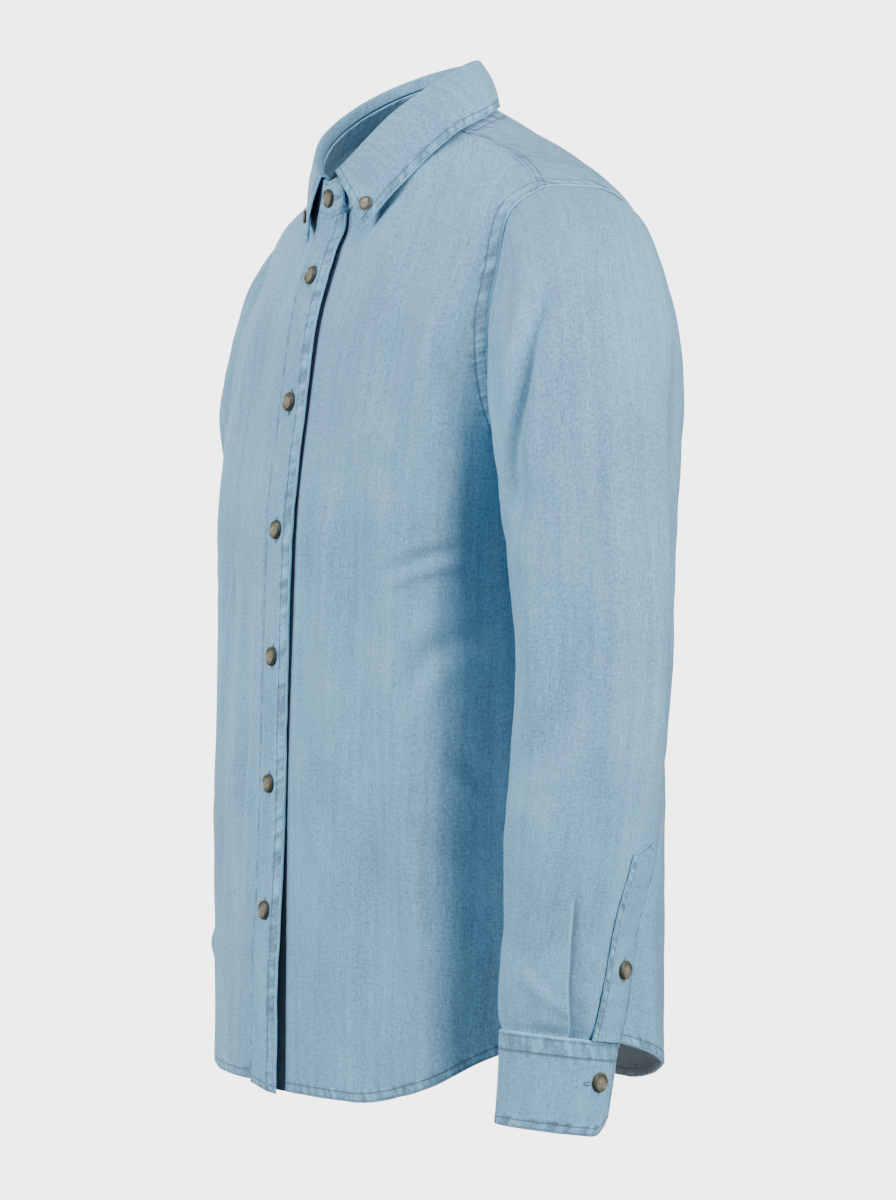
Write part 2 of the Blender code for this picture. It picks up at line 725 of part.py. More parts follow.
def cuff_surface(down, turn, sink=0.0):
    """Points of the left cuff. Down runs from its seam to its lower edge."""
    down, turn = np.broadcast_arrays(np.asarray(down, float), np.asarray(turn, float))
    rows = smooth_columns(CUFF_RINGS, down)
    _, inner_x, inner_z, outer_x, outer_z, front_y, back_y, rise = np.moveaxis(rows, -1, 0)
    across = np.cos(np.radians(turn))
    along = np.sin(np.radians(turn))
    x = (outer_x + inner_x) / 2 + ((outer_x - inner_x) / 2 - sink) * across
    y = (back_y + front_y) / 2 + ((back_y - front_y) / 2 - sink) * along
    z = (outer_z + inner_z) / 2 - rise / 2 * along
    return np.stack([x, y, z], axis=-1)


def cuff_points(side):
    turn = np.linspace(CUFF_END_TURN, CUFF_UNDER_TURN, CUFF_COLUMNS + 1)[None, :]
    down = np.linspace(0, 1, CUFF_ROWS + 1)[:, None] * np.ones_like(turn)
    down[-1, :2] = CUFF_CLIP
    down[-1, -2:] = CUFF_CLIP[::-1]
    wound = CUFF_END_TURN - turn
    sink = CUFF_SINK * eased((wound - CUFF_SINK_START) / (CUFF_SINK_END - CUFF_SINK_START))
    return swung(cuff_surface(down, turn, sink), 1.0, side)


def gauntlet_place(run, across, lift, side):
    """A place on the sleeve this far across the strip (in mm, towards the back) and this far out."""
    run, across = np.broadcast_arrays(np.asarray(run, float), np.asarray(across, float))
    middle = smooth_columns(GAUNTLET_LINE, run)[..., 1]
    rows = smooth_columns(SLEEVE_RINGS, run)
    radius = (rows[..., 3] - rows[..., 1] + rows[..., 6] - rows[..., 5]) / 4
    turn = middle + np.degrees(across / radius)
    points = sleeve_wall(run, turn)
    round_step = sleeve_wall(run, turn + 1) - sleeve_wall(run, turn - 1)
    down_step = sleeve_wall(run + 0.005, turn) - sleeve_wall(run - 0.005, turn)
    normal = np.cross(down_step, round_step)
    normal /= np.linalg.norm(normal, axis=-1, keepdims=True)
    return swung(points + normal * lift, run, side)


def gauntlet_points(side):
    straight = np.linspace(GAUNTLET_TOP_RUN, GAUNTLET_FOOT_RUN, GAUNTLET_ROWS)
    run = np.concatenate([[GAUNTLET_POINT_RUN], straight])
    half = np.full(len(run), float(GAUNTLET_HALF))
    half[0] = GAUNTLET_POINT_HALF
    across = half[:, None] * np.linspace(-1, 1, GAUNTLET_COLUMNS + 1)[None, :]
    return gauntlet_place(run[:, None], across, GAUNTLET_LIFT, side)


def collar_ring(share, angle):
    """Points of the collar between the foot (0) and the top (1) of its stand."""
    share = np.asarray(share, float)
    rings = np.array(STAND_FOOT) * (1 - share[..., None]) + np.array(STAND_TOP) * share[..., None]
    points = ring_points(rings, angle)
    slump = np.maximum(np.cos(np.radians(angle - COLLAR_SLUMP_ANGLE)), 0) ** 2
    points[..., 2] -= COLLAR_SLUMP * slump * share
    return points


def outward(angle):
    turn = np.radians(angle)
    return np.stack([np.cos(turn), np.sin(turn), np.zeros_like(turn)], axis=-1)


def stand_angles():
    """Wound from the lapped right end round the back to the left end beneath it.

    Between its ends the stand has its corners at the leaf's.
    """
    half_depth = (STAND_TOP[5] - STAND_TOP[4]) / 2
    end = np.degrees(np.arctan2(STAND_LAP, half_depth))
    right = -180 - LEAF_FRONT_ANGLE
    left = LEAF_FRONT_ANGLE - 360
    return np.concatenate([
        np.linspace(-90 + end, right, STAND_END_COLUMNS + 1),
        np.linspace(right, left, LEAF_COLUMNS + 1)[1:],
        np.linspace(left, -450 - end, STAND_END_COLUMNS + 1)[1:],
    ])


def stand_points():
    angle = stand_angles()[None, :]
    share = np.linspace(0, 1, STAND_ROWS + 1)[:, None] * np.ones_like(angle)
    share[-1, 0] = share[-1, -1] = STAND_CORNER_SHARE
    lift = STAND_LIFT * eased(1 - (-90 - angle) / STAND_LIFT_REACH)
    return collar_ring(share, angle) + outward(angle) * lift[..., None]


def leaf_points():
    """From its seam on the stand, up and over the fold, and down to the edge and points."""
    share = np.linspace(-1, 1, LEAF_COLUMNS + 1)
    angle = 90 - (90 - LEAF_FRONT_ANGLE) * share
    out = outward(angle)
    up = np.array([0, 0, 1.0])
    near_front = eased((np.abs(share) - LEAF_LIFT_START) / (1 - LEAF_LIFT_START))
    seam = collar_ring(np.ones_like(share), angle) + out * LEAF_FRONT_LIFT * near_front[:, None]
    flat = eased((np.abs(share) - LEAF_FLAT_START) / (1 - LEAF_FLAT_START))
    tall = (1 - LEAF_FLAT_SHARE * flat)[:, None]
    foot = LEAF_ROLL[0][0]
    rows = [seam + up * (foot + (rise - foot) * tall) + out * reach for rise, reach in LEAF_ROLL]
    edge = smooth_columns(LEAF_EDGE, np.abs(share))[:, 1:]
    edge[:, 0] *= np.sign(share)
    on_right = eased((-share - LEAF_RIGHT_SHIFT_START) / (1 - LEAF_RIGHT_SHIFT_START))
    edge += on_right[:, None] * np.array(LEAF_RIGHT_POINT_SHIFT)
    for drop in np.linspace(0, 1, LEAF_DROP_ROWS + 1)[1:]:
        bulge = LEAF_BULGE * np.sin(np.pi * drop)
        rows.append(rows[len(LEAF_ROLL) - 1] * (1 - drop) + edge * drop + (out + up) * bulge)
    return np.stack(rows)


def material(name, color, roughness):
    made = bpy.data.materials.new(name)
    made.use_nodes = True
    shader = made.node_tree.nodes["Principled BSDF"]
    shader.inputs["Base Color"].default_value = (*color, 1)
    shader.inputs["Roughness"].default_value = roughness
    shader.inputs["Metallic"].default_value = 0
    made.diffuse_color = (*color, 1)
    return made


def cloth(name, points, thickness, color, closed=False, flip=False):
    """A grid of faces moved to these points, with its thickness added on the inside."""
    rows, columns = points.shape[:2]
    mesh = bpy.data.meshes.new(name)
    grid = bmesh.new()
    bmesh.ops.create_grid(grid, x_segments=columns - 1, y_segments=rows - 1, size=1)
    for vertex, place in zip(grid.verts, points.reshape(-1, 3) * MM):
        vertex.co = place
    if closed:
        bmesh.ops.remove_doubles(grid, verts=grid.verts, dist=JOIN_DISTANCE * MM)
    if flip:
        bmesh.ops.reverse_faces(grid, faces=grid.faces)
    bmesh.ops.triangulate(grid, faces=grid.faces, quad_method="SHORT_EDGE")
    grid.to_mesh(mesh)
    grid.free()
    mesh.shade_smooth()
    made = bpy.data.objects.new(name, mesh)
    made.data.materials.append(material(name, color, DENIM_ROUGHNESS))
    wall = made.modifiers.new("Wall", "SOLIDIFY")
    wall.thickness = thickness * MM
    wall.offset = -1
    bpy.data.collections["denim_shirt"].objects.link(made)
    return made


def button_mesh(name, radius):
    profile = bmesh.new()
    corners = [profile.verts.new((share * radius * MM, 0, height * MM)) for share, height in BUTTON_PROFILE]
    for start, end in zip(corners, corners[1:]):
        profile.edges.new((start, end))
    mesh = bpy.data.meshes.new(name)
    profile.to_mesh(mesh)
    profile.free()
    return mesh


def button(name, radius, point, normal, color):
    """A button whose back faces this point of the cloth."""
    made = bpy.data.objects.new(name, button_mesh(name, radius))
    turned = made.modifiers.new("Turned", "SCREW")
    turned.steps = turned.render_steps = BUTTON_STEPS
    turned.use_merge_vertices = True
    turned.merge_threshold = JOIN_DISTANCE * MM
    turned.use_smooth_shade = True
    made.data.materials.append(material(name, color, HORN_ROUGHNESS))
    made.location = (np.asarray(point) + np.asarray(normal) * BUTTON_GAP) * MM
    made.rotation_euler = Vector(normal).to_track_quat("Z", "Y").to_euler()
    bpy.data.collections["denim_shirt"].objects.link(made)
    return made


def front_button(height):
    angle = np.array(-90.0)
    lift = lap_lift(angle, height) + (BAND_CLOTH - CLOTH) / 2
    return lifted_body(angle, np.array(height, float), lift), body_normal(angle, height)


def stand_button():
    angle = np.array(-90.0)
    out = outward(angle)
    lean = collar_ring(1.0, angle) - collar_ring(0.0, angle)
    normal = np.cross(np.array([1.0, 0, 0]), lean)
    return collar_ring(STAND_BUTTON_SHARE, angle) + out * STAND_LIFT, normal / np.linalg.norm(normal)


def patch_place(points, row, column):
    """A place on a grid of points, given as a fractional row and column, and its normal there."""
    low_row, low_column = int(row), int(column)
    down, over = row - low_row, column - low_column
    corners = points[low_row : low_row + 2, low_column : low_column + 2]
    edge = corners[0] * (1 - down) + corners[1] * down
    point = edge[0] * (1 - over) + edge[1] * over
    normal = np.cross((corners[:, 1] - corners[:, 0]).mean(axis=0), (corners[1] - corners[0]).mean(axis=0))
    return point, normal / np.linalg.norm(normal)


def point_button(side):
    row = len(LEAF_ROLL) - 1 + POINT_BUTTON_DROP * LEAF_DROP_ROWS
    column = (1 + side * POINT_BUTTON_SHARE) / 2 * LEAF_COLUMNS
    return patch_place(leaf_points(), row, column)


def cuff_button(side):
    point = cuff_surface(CUFF_BUTTON_DOWN, CUFF_BUTTON_TURN)
    round_step = cuff_surface(CUFF_BUTTON_DOWN, CUFF_BUTTON_TURN + 1) - point
    down_step = cuff_surface(CUFF_BUTTON_DOWN + 0.1, CUFF_BUTTON_TURN) - point
    normal = np.cross(down_step, round_step)
    normal /= np.linalg.norm(normal)
    return swung(point, 1.0, side), normal if side > 0 else mirrored(normal)


def sleeve_button(side):
    point, normal = patch_place(gauntlet_points(side), SLEEVE_BUTTON_ROW, GAUNTLET_COLUMNS / 2)
    return point, -normal * side


def clear_scene():
    for thing in list(bpy.data.objects):
        bpy.data.objects.remove(thing, do_unlink=True)


def main():
    clear_scene()
    collection = bpy.data.collections.new("denim_shirt")
    bpy.context.scene.collection.children.link(collection)
    cloth("front_left", front_left_points(), CLOTH, DENIM, flip=True)
    cloth("front_right", front_right_points(), CLOTH, DENIM)
    cloth("placket_top", placket_top_points(), BAND_CLOTH, DENIM)
    cloth("placket_under", placket_under_points(), BAND_CLOTH, DENIM)
    cloth("back", back_points(), CLOTH, DENIM)
    cloth("yoke", yoke_points(), CLOTH, DENIM)
    cloth("collar_stand", stand_points(), STAND_CLOTH, DENIM, flip=True)
    cloth("collar_leaf", leaf_points(), LEAF_CLOTH, DENIM)
    for side, word in ((1, "left"), (-1, "right")):
        cloth("sleeve_" + word, sleeve_points(side), CLOTH, DENIM, closed=True, flip=side > 0)
        cloth("cuff_" + word, cuff_points(side), CUFF_CLOTH, DENIM, flip=side < 0)
        cloth("sleeve_placket_" + word, gauntlet_points(side), GAUNTLET_CLOTH, DENIM, flip=side > 0)
        button("button_point_" + word, POINT_BUTTON, *point_button(side), HORN)
        button("button_cuff_" + word, FRONT_BUTTON, *cuff_button(side), HORN)
        button("button_sleeve_" + word, SLEEVE_BUTTON, *sleeve_button(side), HORN)
    for number, height in enumerate(FRONT_BUTTON_HEIGHTS, start=1):
        button(f"button_front_{number}", FRONT_BUTTON, *front_button(height), HORN)
    button("button_stand", FRONT_BUTTON, *stand_button(), HORN)


main()
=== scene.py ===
# %% [markdown]
# # A light-wash denim shirt, dressed over its solids
# The solids give each cut piece as a plain wall. This lesson makes the same pieces again in fine
# cloth, with the folds, seams, stitches, buttons and wash that the eye looks for. Lengths in the
# tables are millimetres, and MM turns them into Blender's metres.

import bpy
import numpy as np
from mathutils import Matrix, Vector


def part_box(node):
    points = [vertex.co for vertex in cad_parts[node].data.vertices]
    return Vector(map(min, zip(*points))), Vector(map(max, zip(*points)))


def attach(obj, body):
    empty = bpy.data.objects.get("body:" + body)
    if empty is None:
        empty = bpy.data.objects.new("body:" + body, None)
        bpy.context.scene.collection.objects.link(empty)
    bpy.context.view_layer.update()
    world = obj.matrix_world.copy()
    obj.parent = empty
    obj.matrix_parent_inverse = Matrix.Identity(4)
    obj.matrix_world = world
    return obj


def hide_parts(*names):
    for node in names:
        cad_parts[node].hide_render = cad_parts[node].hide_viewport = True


MM = 0.001
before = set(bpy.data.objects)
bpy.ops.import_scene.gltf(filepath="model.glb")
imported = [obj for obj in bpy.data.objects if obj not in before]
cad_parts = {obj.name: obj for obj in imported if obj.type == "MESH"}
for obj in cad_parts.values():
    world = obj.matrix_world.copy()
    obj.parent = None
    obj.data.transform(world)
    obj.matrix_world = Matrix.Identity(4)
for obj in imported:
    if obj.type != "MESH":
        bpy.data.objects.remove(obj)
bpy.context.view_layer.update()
print("solids loaded:", len(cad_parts))

# %% [markdown]
# ## Helpers for objects and nodes
# The first helper links a new object to the scene. A node tree is easier to read as a formula, so
# the others add one node each and hand back its output, and a material below is a few lines of
# arithmetic on the cloth's own coordinates.


# %% Helpers
def placed(name, data):
    """A new object with this data, linked to the scene."""
    made = bpy.data.objects.new(name, data)
    bpy.context.scene.collection.objects.link(made)
    return made


def add(tree, kind, values=(), **settings):
    """A new node with these settings, and its inputs linked or set by (socket, value) pairs."""
    made = tree.nodes.new(kind)
    for key, value in settings.items():
        setattr(made, key, value)
    for key, value in values:
        if isinstance(value, bpy.types.NodeSocket):
            tree.links.new(value, made.inputs[key])
        else:
            made.inputs[key].default_value = value
    return made


def first(tree, kind, values=(), **settings):
    """The first output of a new node."""
    return add(tree, kind, values, **settings).outputs[0]


def sums(tree, operation, *numbers):
    """The output of a Math node."""
    return first(tree, "ShaderNodeMath", enumerate(numbers), operation=operation)


def band(tree, value, low, high, start=0.0, end=1.0):
    """A smooth change from start to end as value goes from low to high."""
    ranges = [(0, value), (1, low), (2, high), (3, start), (4, end)]
    return first(tree, "ShaderNodeMapRange", ranges, interpolation_type="SMOOTHSTEP")


def tint(tree, amount, color, other):
    """One colour changed towards another by amount."""
    made = add(tree, "ShaderNodeMix", [(0, amount), (6, color), (7, other)], data_type="RGBA")
    return made.outputs[2]


def grain(tree, across, along, depth, detail=2.0, rough=0.5):
    """Noise in cells of the size that these three scaled coordinates give."""
    place = first(tree, "ShaderNodeCombineXYZ", [(0, across), (1, along), (2, depth)])
    values = [("Vector", place), ("Scale", 1.0), ("Detail", detail), ("Roughness", rough)]
    return first(tree, "ShaderNodeTexNoise", values)


def object_noise(tree, scale, detail, distortion=0.0):
    """Noise on the object's own coordinates, in this many cells to the metre."""
    place = add(tree, "ShaderNodeTexCoord").outputs["Object"]
    values = [("Vector", place), ("Scale", scale), ("Detail", detail), ("Distortion", distortion)]
    return first(tree, "ShaderNodeTexNoise", values)


def bump(tree, height, strength, distance, *under):
    """The normal of a surface raised by this height, over another normal if one is given."""
    values = [("Height", height), ("Strength", strength), ("Distance", distance)]
    values += [("Normal", normal) for normal in under]
    return first(tree, "ShaderNodeBump", values)


def finish(tree, shader, color, normal, **values):
    """Links a shader's colour and normal, and sets what is the same all over."""
    tree.links.new(color, shader.inputs["Base Color"])
    tree.links.new(normal, shader.inputs["Normal"])
    for key, value in values.items():
        shader.inputs[key.replace("_", " ")].default_value = value


def new_material(name):
    made = bpy.data.materials.new(name)
    made.use_nodes = True
    return made, made.node_tree, made.node_tree.nodes["Principled BSDF"]


# %% [markdown]
# ## Camera and light
# Catalogue pictures of clothes use a long lens, so that the cuffs don't look bigger than the
# collar, and two large soft lamps level with the chest, one on each side. No lamp stands at the
# camera, so the cloth between body and sleeve falls into shade and every fold is modelled. A weak
# lamp overhead lifts the shoulders, a very weak one beneath the hem lights the inside, and two
# more stand behind for the back. The lens sees a backdrop brighter than the room that lights the
# shirt, as it does in a studio with its own lamps on the backdrop.

# %% Camera
VIEW_TURN = 61.0
VIEW_DISTANCE = 3.0
VIEW_HEIGHT = -0.304
VIEW_SIDE_STEP = 0.0053
SENSOR = 36
LENS = 135.3

turn = np.radians(VIEW_TURN)
to_right = Vector((np.cos(turn), np.sin(turn), 0))
to_camera = Vector((np.sin(turn), -np.cos(turn), 0))
camera_data = bpy.data.cameras.new("camera")
camera_data.sensor_fit = "VERTICAL"
camera_data.sensor_height = SENSOR
camera_data.lens = LENS
camera = placed("camera", camera_data)
camera.location = to_right * VIEW_SIDE_STEP + to_camera * VIEW_DISTANCE + Vector((0, 0, VIEW_HEIGHT))
camera.rotation_euler = (np.pi / 2, 0, turn)
bpy.context.scene.camera = camera
print("camera at", [round(value, 3) for value in camera.location])

# %% Studio light
ROOM_LIGHT = 0.055
BACKDROP = (1.0, 1.0, 0.99, 1)
BACKDROP_LIGHT = 4.4
LAMPS = {
    # name: metres right, towards the camera and up from the shirt's middle, then width and watts
    "left": (-2.5, 0.60, 0.36, 1.4, 98),
    "right": (1.55, 2.05, 0.50, 1.4, 89),
    "top": (0.1, 1.1, 1.7, 1.2, 22),
    "below": (0.05, 0.05, -0.41, 0.35, 0.22),
    "back": (1.8, 0.3, 1.6, 1.4, 22),
    "rear": (-0.9, -2.5, 0.5, 1.6, 60),
}


def soft_lamp(name, right, forward, up, width, watts):
    """A square area light that faces the middle of the shirt."""
    data = bpy.data.lights.new(name, "AREA")
    data.energy = watts
    data.size = width
    lamp = placed(name, data)
    lamp.location = to_right * right + to_camera * forward + Vector((0, 0, VIEW_HEIGHT + up))
    aim = Vector((0, 0, VIEW_HEIGHT)) - lamp.location
    lamp.rotation_euler = aim.to_track_quat("-Z", "Y").to_euler()
    lamp.visible_camera = False


for name, place in LAMPS.items():
    soft_lamp(name, *place)
world = bpy.data.worlds.new("room")
world.use_nodes = True
tree = world.node_tree
room = tree.nodes["Background"]
room.inputs[0].default_value = (1, 1, 1, 1)
room.inputs[1].default_value = ROOM_LIGHT
backdrop = first(tree, "ShaderNodeBackground", [(0, BACKDROP), (1, BACKDROP_LIGHT)])
seen = add(tree, "ShaderNodeLightPath").outputs["Is Camera Ray"]
choice = first(tree, "ShaderNodeMixShader", [(0, seen), (1, room.outputs[0]), (2, backdrop)])
tree.links.new(choice, tree.nodes["World Output"].inputs[0])
bpy.context.scene.world = world
print("lamps:", ", ".join(LAMPS))

# %% [markdown]
# ## Washed denim
# Light denim is a twill of blue warp and white weft, washed until the blue is uneven. Up close
# there are fine slanting ribs and yarns of uneven thickness, and from a step away a soft heather
# with faint upright streaks. Where two layers are stitched together the wash rubs the ridges
# between puckers pale and leaves the hollows blue. The pattern follows the cloth's own map (in
# metres along the weft and the warp) and four attributes. Two say how far a place lies from a sewn
# edge, counted in widths of that seam: 0 on the edge and 1 on the stitch line. One marks the wrong
# side, where the pale weft shows. The last is painted shade: it darkens cloth that another layer
# lies over and the valley of a tuck, and less than nothing is a rubbed edge, paler than the rest.
# The dark lines along a stitch row and an edge's lip are partly the wash and partly painted shade
# in those grooves.

# %% Washed denim
DENIM_DEEP = (0.105, 0.200, 0.308, 1)
DENIM_PALE = (0.245, 0.550, 0.775, 1)
DENIM_WRONG_SIDE = (0.480, 0.530, 0.560, 1)
WRONG_SIDE_SHARE = 0.8
HEATHER = {
    # name: size of a cell across and along in metres, which slice, roughness, weight in the tone
    "warp": (0.0009, 0.011, 0.0, 0.60, 0.56),
    "weft": (0.011, 0.0011, 3.0, 0.60, 0.32),
    "fleck": (0.0016, 0.0019, 7.0, 0.65, 0.92),
    "streak": (0.006, 0.12, 11.0, 0.60, 0.36),
    "cloud": (0.07, 0.10, 17.0, 0.55, 0.36),
}
RIB = 0.00066
RIB_SLOPE = 1.25
PUCKER = 0.0054
PUCKER_DRIFT = 0.02
PUCKER_SLANT = 0.45
PUCKER_CONTRAST = 3.4
RIM_WIDTH = 0.16
WEAVE_BUMP = (0.30, 0.00016)
SEAM_BUMP = (0.9, 0.0008)
# The grooves darken the colour along the stitch row and the edge's lip: partly the wash, partly painted
# shade in these hollows.
SEAM_GROOVES = (
    # place in seam widths, half width, end of its fade, depth: the stitch row, then the edge's lip
    (1.0, 0.02, 0.11, 1.0),
    (0.24, 0.0, 0.09, 0.55),
)


def groove_along(tree, edge, place, half_width, fade, depth):
    off = sums(tree, "ABSOLUTE", sums(tree, "SUBTRACT", edge, place))
    return band(tree, off, half_width, fade, depth, 0.0)


def sewn_edge(tree, edge, run, drift):
    """Masks for one pair of edges: pucker ridge (-1 to 1), its strength, and the grooves."""
    slant = sums(tree, "MULTIPLY_ADD", edge, PUCKER_SLANT, sums(tree, "DIVIDE", run, PUCKER))
    ridge = sums(tree, "SUBTRACT", grain(tree, slant, drift, 0.0, 1.0), 0.5)
    ridge = sums(tree, "MULTIPLY", ridge, PUCKER_CONTRAST)
    inside = sums(tree, "MULTIPLY", band(tree, edge, 0.0, 0.25), band(tree, edge, 1.0, 1.5, 1.0, 0.0))
    grooves = [groove_along(tree, edge, *row) for row in SEAM_GROOVES]
    return sums(tree, "MULTIPLY", ridge, inside), inside, sums(tree, "MAXIMUM", *grooves)


def denim_material():
    made, tree, shader = new_material("washed_denim")
    cloth_map = first(tree, "ShaderNodeUVMap", uv_map="cloth")
    across, along = add(tree, "ShaderNodeSeparateXYZ", [(0, cloth_map)]).outputs[:2]
    side, end, wrong, painted_shade_and_wear = [
        add(tree, "ShaderNodeAttribute", attribute_name=name).outputs["Fac"]
        for name in ("side_edge", "end_edge", "wrong_side", "painted_shade_and_wear")
    ]

    def scaled(value, size):
        return sums(tree, "DIVIDE", value, size)

    slanting = sums(tree, "ADD", scaled(across, RIB), scaled(along, RIB * RIB_SLOPE))
    rib = sums(tree, "SINE", sums(tree, "MULTIPLY", slanting, 2 * np.pi))
    masks = [
        sewn_edge(tree, side, along, scaled(across, PUCKER_DRIFT)),
        sewn_edge(tree, end, across, scaled(along, PUCKER_DRIFT)),
    ]
    ridges, insides, grooves = zip(*masks)
    ridge = sums(tree, "ADD", *ridges)
    sewn = sums(tree, "MAXIMUM", *insides)
    groove = sums(tree, "MAXIMUM", *grooves)
    rims = [band(tree, edge, 0.0, RIM_WIDTH, 1.0, 0.0) for edge in (side, end)]
    rim = sums(tree, "MAXIMUM", *rims)

    tone = 0.5
    layers = {}
    for name, (cell_across, cell_along, depth, rough, weight) in HEATHER.items():
        layer = grain(tree, scaled(across, cell_across), scaled(along, cell_along), depth, 2.0, rough)
        tone = sums(tree, "MULTIPLY_ADD", sums(tree, "SUBTRACT", layer, 0.5), weight, tone)
        layers[name] = layer
    # The grooves' darkening is partly the wash and partly painted shade. The last mark is painted shade,
    # and it is pale wear where it falls below 0.
    marks = ((rib, 0.012), (ridge, 0.42), (sewn, -0.03), (groove, -0.50), (rim, 0.46), (painted_shade_and_wear, -0.55))
    for mark, weight in marks:
        tone = sums(tree, "MULTIPLY_ADD", mark, weight, tone)
    color = tint(tree, band(tree, tone, 0.0, 1.0), DENIM_DEEP, DENIM_PALE)
    color = tint(tree, sums(tree, "MULTIPLY", wrong, WRONG_SIDE_SHARE), color, DENIM_WRONG_SIDE)

    weave = sums(tree, "MULTIPLY_ADD", rib, 0.5, sums(tree, "MULTIPLY", layers["fleck"], 1.2))
    weave = sums(tree, "MULTIPLY_ADD", layers["warp"], 0.8, weave)
    relief = sums(tree, "MULTIPLY_ADD", groove, -0.45, ridge)
    normal = bump(tree, relief, *SEAM_BUMP, bump(tree, weave, *WEAVE_BUMP))
    finish(
        tree, shader, color, normal,
        Roughness=0.88, Specular_IOR_Level=0.25, Sheen_Weight=0.12, Sheen_Roughness=0.45,
    )
    return made


denim = denim_material()
print("material:", denim.name, "with", len(denim.node_tree.nodes), "nodes")

# %% [markdown]
# ## Thread and horn
# The seams are sewn in blue thread a shade deeper than the cloth, so a stitch shows as a small dark
# dash. The buttons are mottled horn: a grey-olive body, a darker rim and a pale middle.


# %% Thread
def thread_material(name, color, pale):
    made, tree, shader = new_material(name)
    noise = object_noise(tree, 900.0, 2.0)
    finish(tree, shader, tint(tree, noise, color, pale), bump(tree, noise, 0.4, 0.0001), Roughness=0.7)
    return made


thread = thread_material("blue_thread", (0.05, 0.16, 0.28, 1), (0.17, 0.36, 0.52, 1))
pale_thread = thread_material("pale_thread", (0.26, 0.30, 0.30, 1), (0.42, 0.46, 0.44, 1))
print("materials:", thread.name, pale_thread.name)

# %% Horn
HORN_DARK = (0.045, 0.043, 0.026, 1)
HORN_BODY = (0.130, 0.120, 0.078, 1)
HORN_MIDDLE = (0.185, 0.170, 0.120, 1)
HORN_RIM = (0.058, 0.054, 0.034, 1)
HORN_VEIN = (0.230, 0.210, 0.150, 1)


def horn_material():
    """Rings of tone read from each button's own map: x is the share of its radius."""
    made, tree, shader = new_material("horn")
    button_map = first(tree, "ShaderNodeUVMap", uv_map="button")
    reach = first(tree, "ShaderNodeSeparateXYZ", [(0, button_map)])
    mottle = object_noise(tree, 420.0, 4.0)
    vein = object_noise(tree, 110.0, 3.0, 1.4)
    color = tint(tree, band(tree, mottle, 0.3, 0.7), HORN_DARK, HORN_BODY)
    color = tint(tree, band(tree, reach, 0.35, 0.72, 1.0, 0.0), color, HORN_MIDDLE)
    color = tint(tree, band(tree, reach, 0.70, 0.92), color, HORN_RIM)
    color = tint(tree, band(tree, vein, 0.52, 0.70, 0.0, 0.45), color, HORN_VEIN)
    finish(tree, shader, color, bump(tree, mottle, 0.2, 0.0001), Roughness=0.42)
    return made


horn = horn_material()
print("material:", horn.name)

# %% [markdown]
# ## The body as one surface
# A shirt's body is one tube that closes in over the shoulders to the neck. Every cut piece is a
# patch of that surface, so the pieces meet wherever their edges name the same line. The surface
# is a stack of rings, each with its heights at the side, front and back, its half width, its front
# and back, and how square each half of it is.

# %% Rings
BODY_RINGS = (
    # side, front, back, half_width, front_y, back_y, front_square, back_square
    (-660, -660, -660, 196, -125, 113, 2.40, 2.40),
    (-520, -520, -520, 195, -124, 114.5, 2.40, 2.40),
    (-400, -400, -400, 193, -122, 114, 2.50, 2.50),
    (-320, -320, -320, 188, -119, 112, 2.65, 2.65),
    (-240, -240, -240, 187, -115, 112, 2.90, 2.90),
    (-180, -180, -180, 187, -107, 111, 2.95, 3.00),
    (-122, -122, -122, 182, -98, 107, 2.80, 2.95),
    (-80, -94, -70, 179, -90, 98, 2.15, 2.60),
    (-50, -82, -40, 178, -86, 80, 1.78, 2.45),
    (-42, -78, -30, 172, -85, 73, 1.66, 2.35),
    (-18, -64, 3, 122, -80.2, 53, 1.50, 2.15),
    (0, -53, 24.5, 68, -78.3, 27, 2.00, 2.05),
)

# Under each arm the cloth falls in towards the waist. The hollow is full between two angles from
# the side, counted towards the front, and fades to nothing at two more.
ARM_VALLEY = (
    # height, depth
    (-660, 15), (-560, 19), (-440, 24), (-300, 24), (-220, 14), (-160, 4), (-120, 0), (0, 0),
)
VALLEY_FULL = (-6, 14)
VALLEY_ENDS = (-24, 32)


def eased(part):
    part = np.clip(part, 0, 1)
    return part * part * (3 - 2 * part)


def cubic(part, start, end, start_slope, end_slope):
    """From start to end as part goes from 0 to 1, with these slopes at the two ends."""
    ease = part * part * (3 - 2 * part)
    bend = part * (1 - part) ** 2 * start_slope + part * part * (part - 1) * end_slope
    return start * (1 - ease) + end * ease + bend


def smooth_columns(rows, at):
    """Each column of the rows at these values of the first column, by cubics through the rows."""
    rows = np.array(rows, float)
    known = rows[:, 0]
    step = np.diff(known)
    slope = np.diff(rows, axis=0) / step[:, None]
    before, after = step[:-1, None], step[1:, None]
    middle = (slope[:-1] * after + slope[1:] * before) / (after + before)
    tangent = np.concatenate([slope[:1], middle, slope[-1:]])
    at = np.clip(np.asarray(at, float), known[0], known[-1])
    low = np.clip(np.searchsorted(known, at, side="right") - 1, 0, len(step) - 1)
    width = step[low][..., None]
    part = ((at - known[low]) / step[low])[..., None]
    return cubic(part, rows[low], rows[low + 1], width * tangent[low], width * tangent[low + 1])


def circle(angle):
    """Cosine and sine of an angle in degrees."""
    return np.cos(np.radians(angle)), np.sin(np.radians(angle))


def unit(vectors):
    return vectors / np.linalg.norm(vectors, axis=-1, keepdims=True)


def ring_points(ring, angle):
    """Points of a ring at these angles: 0 at the wearer's left, -90 at centre front."""
    side, front, back, half_width, front_y, back_y, front_square, back_square = np.moveaxis(ring, -1, 0)
    across, along = circle(angle)
    square = np.where(along < 0, front_square, back_square)
    half_depth = (back_y - front_y) / 2
    reach = (np.abs(across / half_width) ** square + np.abs(along / half_depth) ** square) ** (-1 / square)
    middle = (front + back) / 2
    crown = np.where(along > 0, np.abs(across) ** 2, np.abs(across) ** 1.4)
    height = middle + (back - front) / 2 * along + (side - middle) * crown
    return np.stack([reach * across, (front_y + back_y) / 2 + reach * along, height], axis=-1)


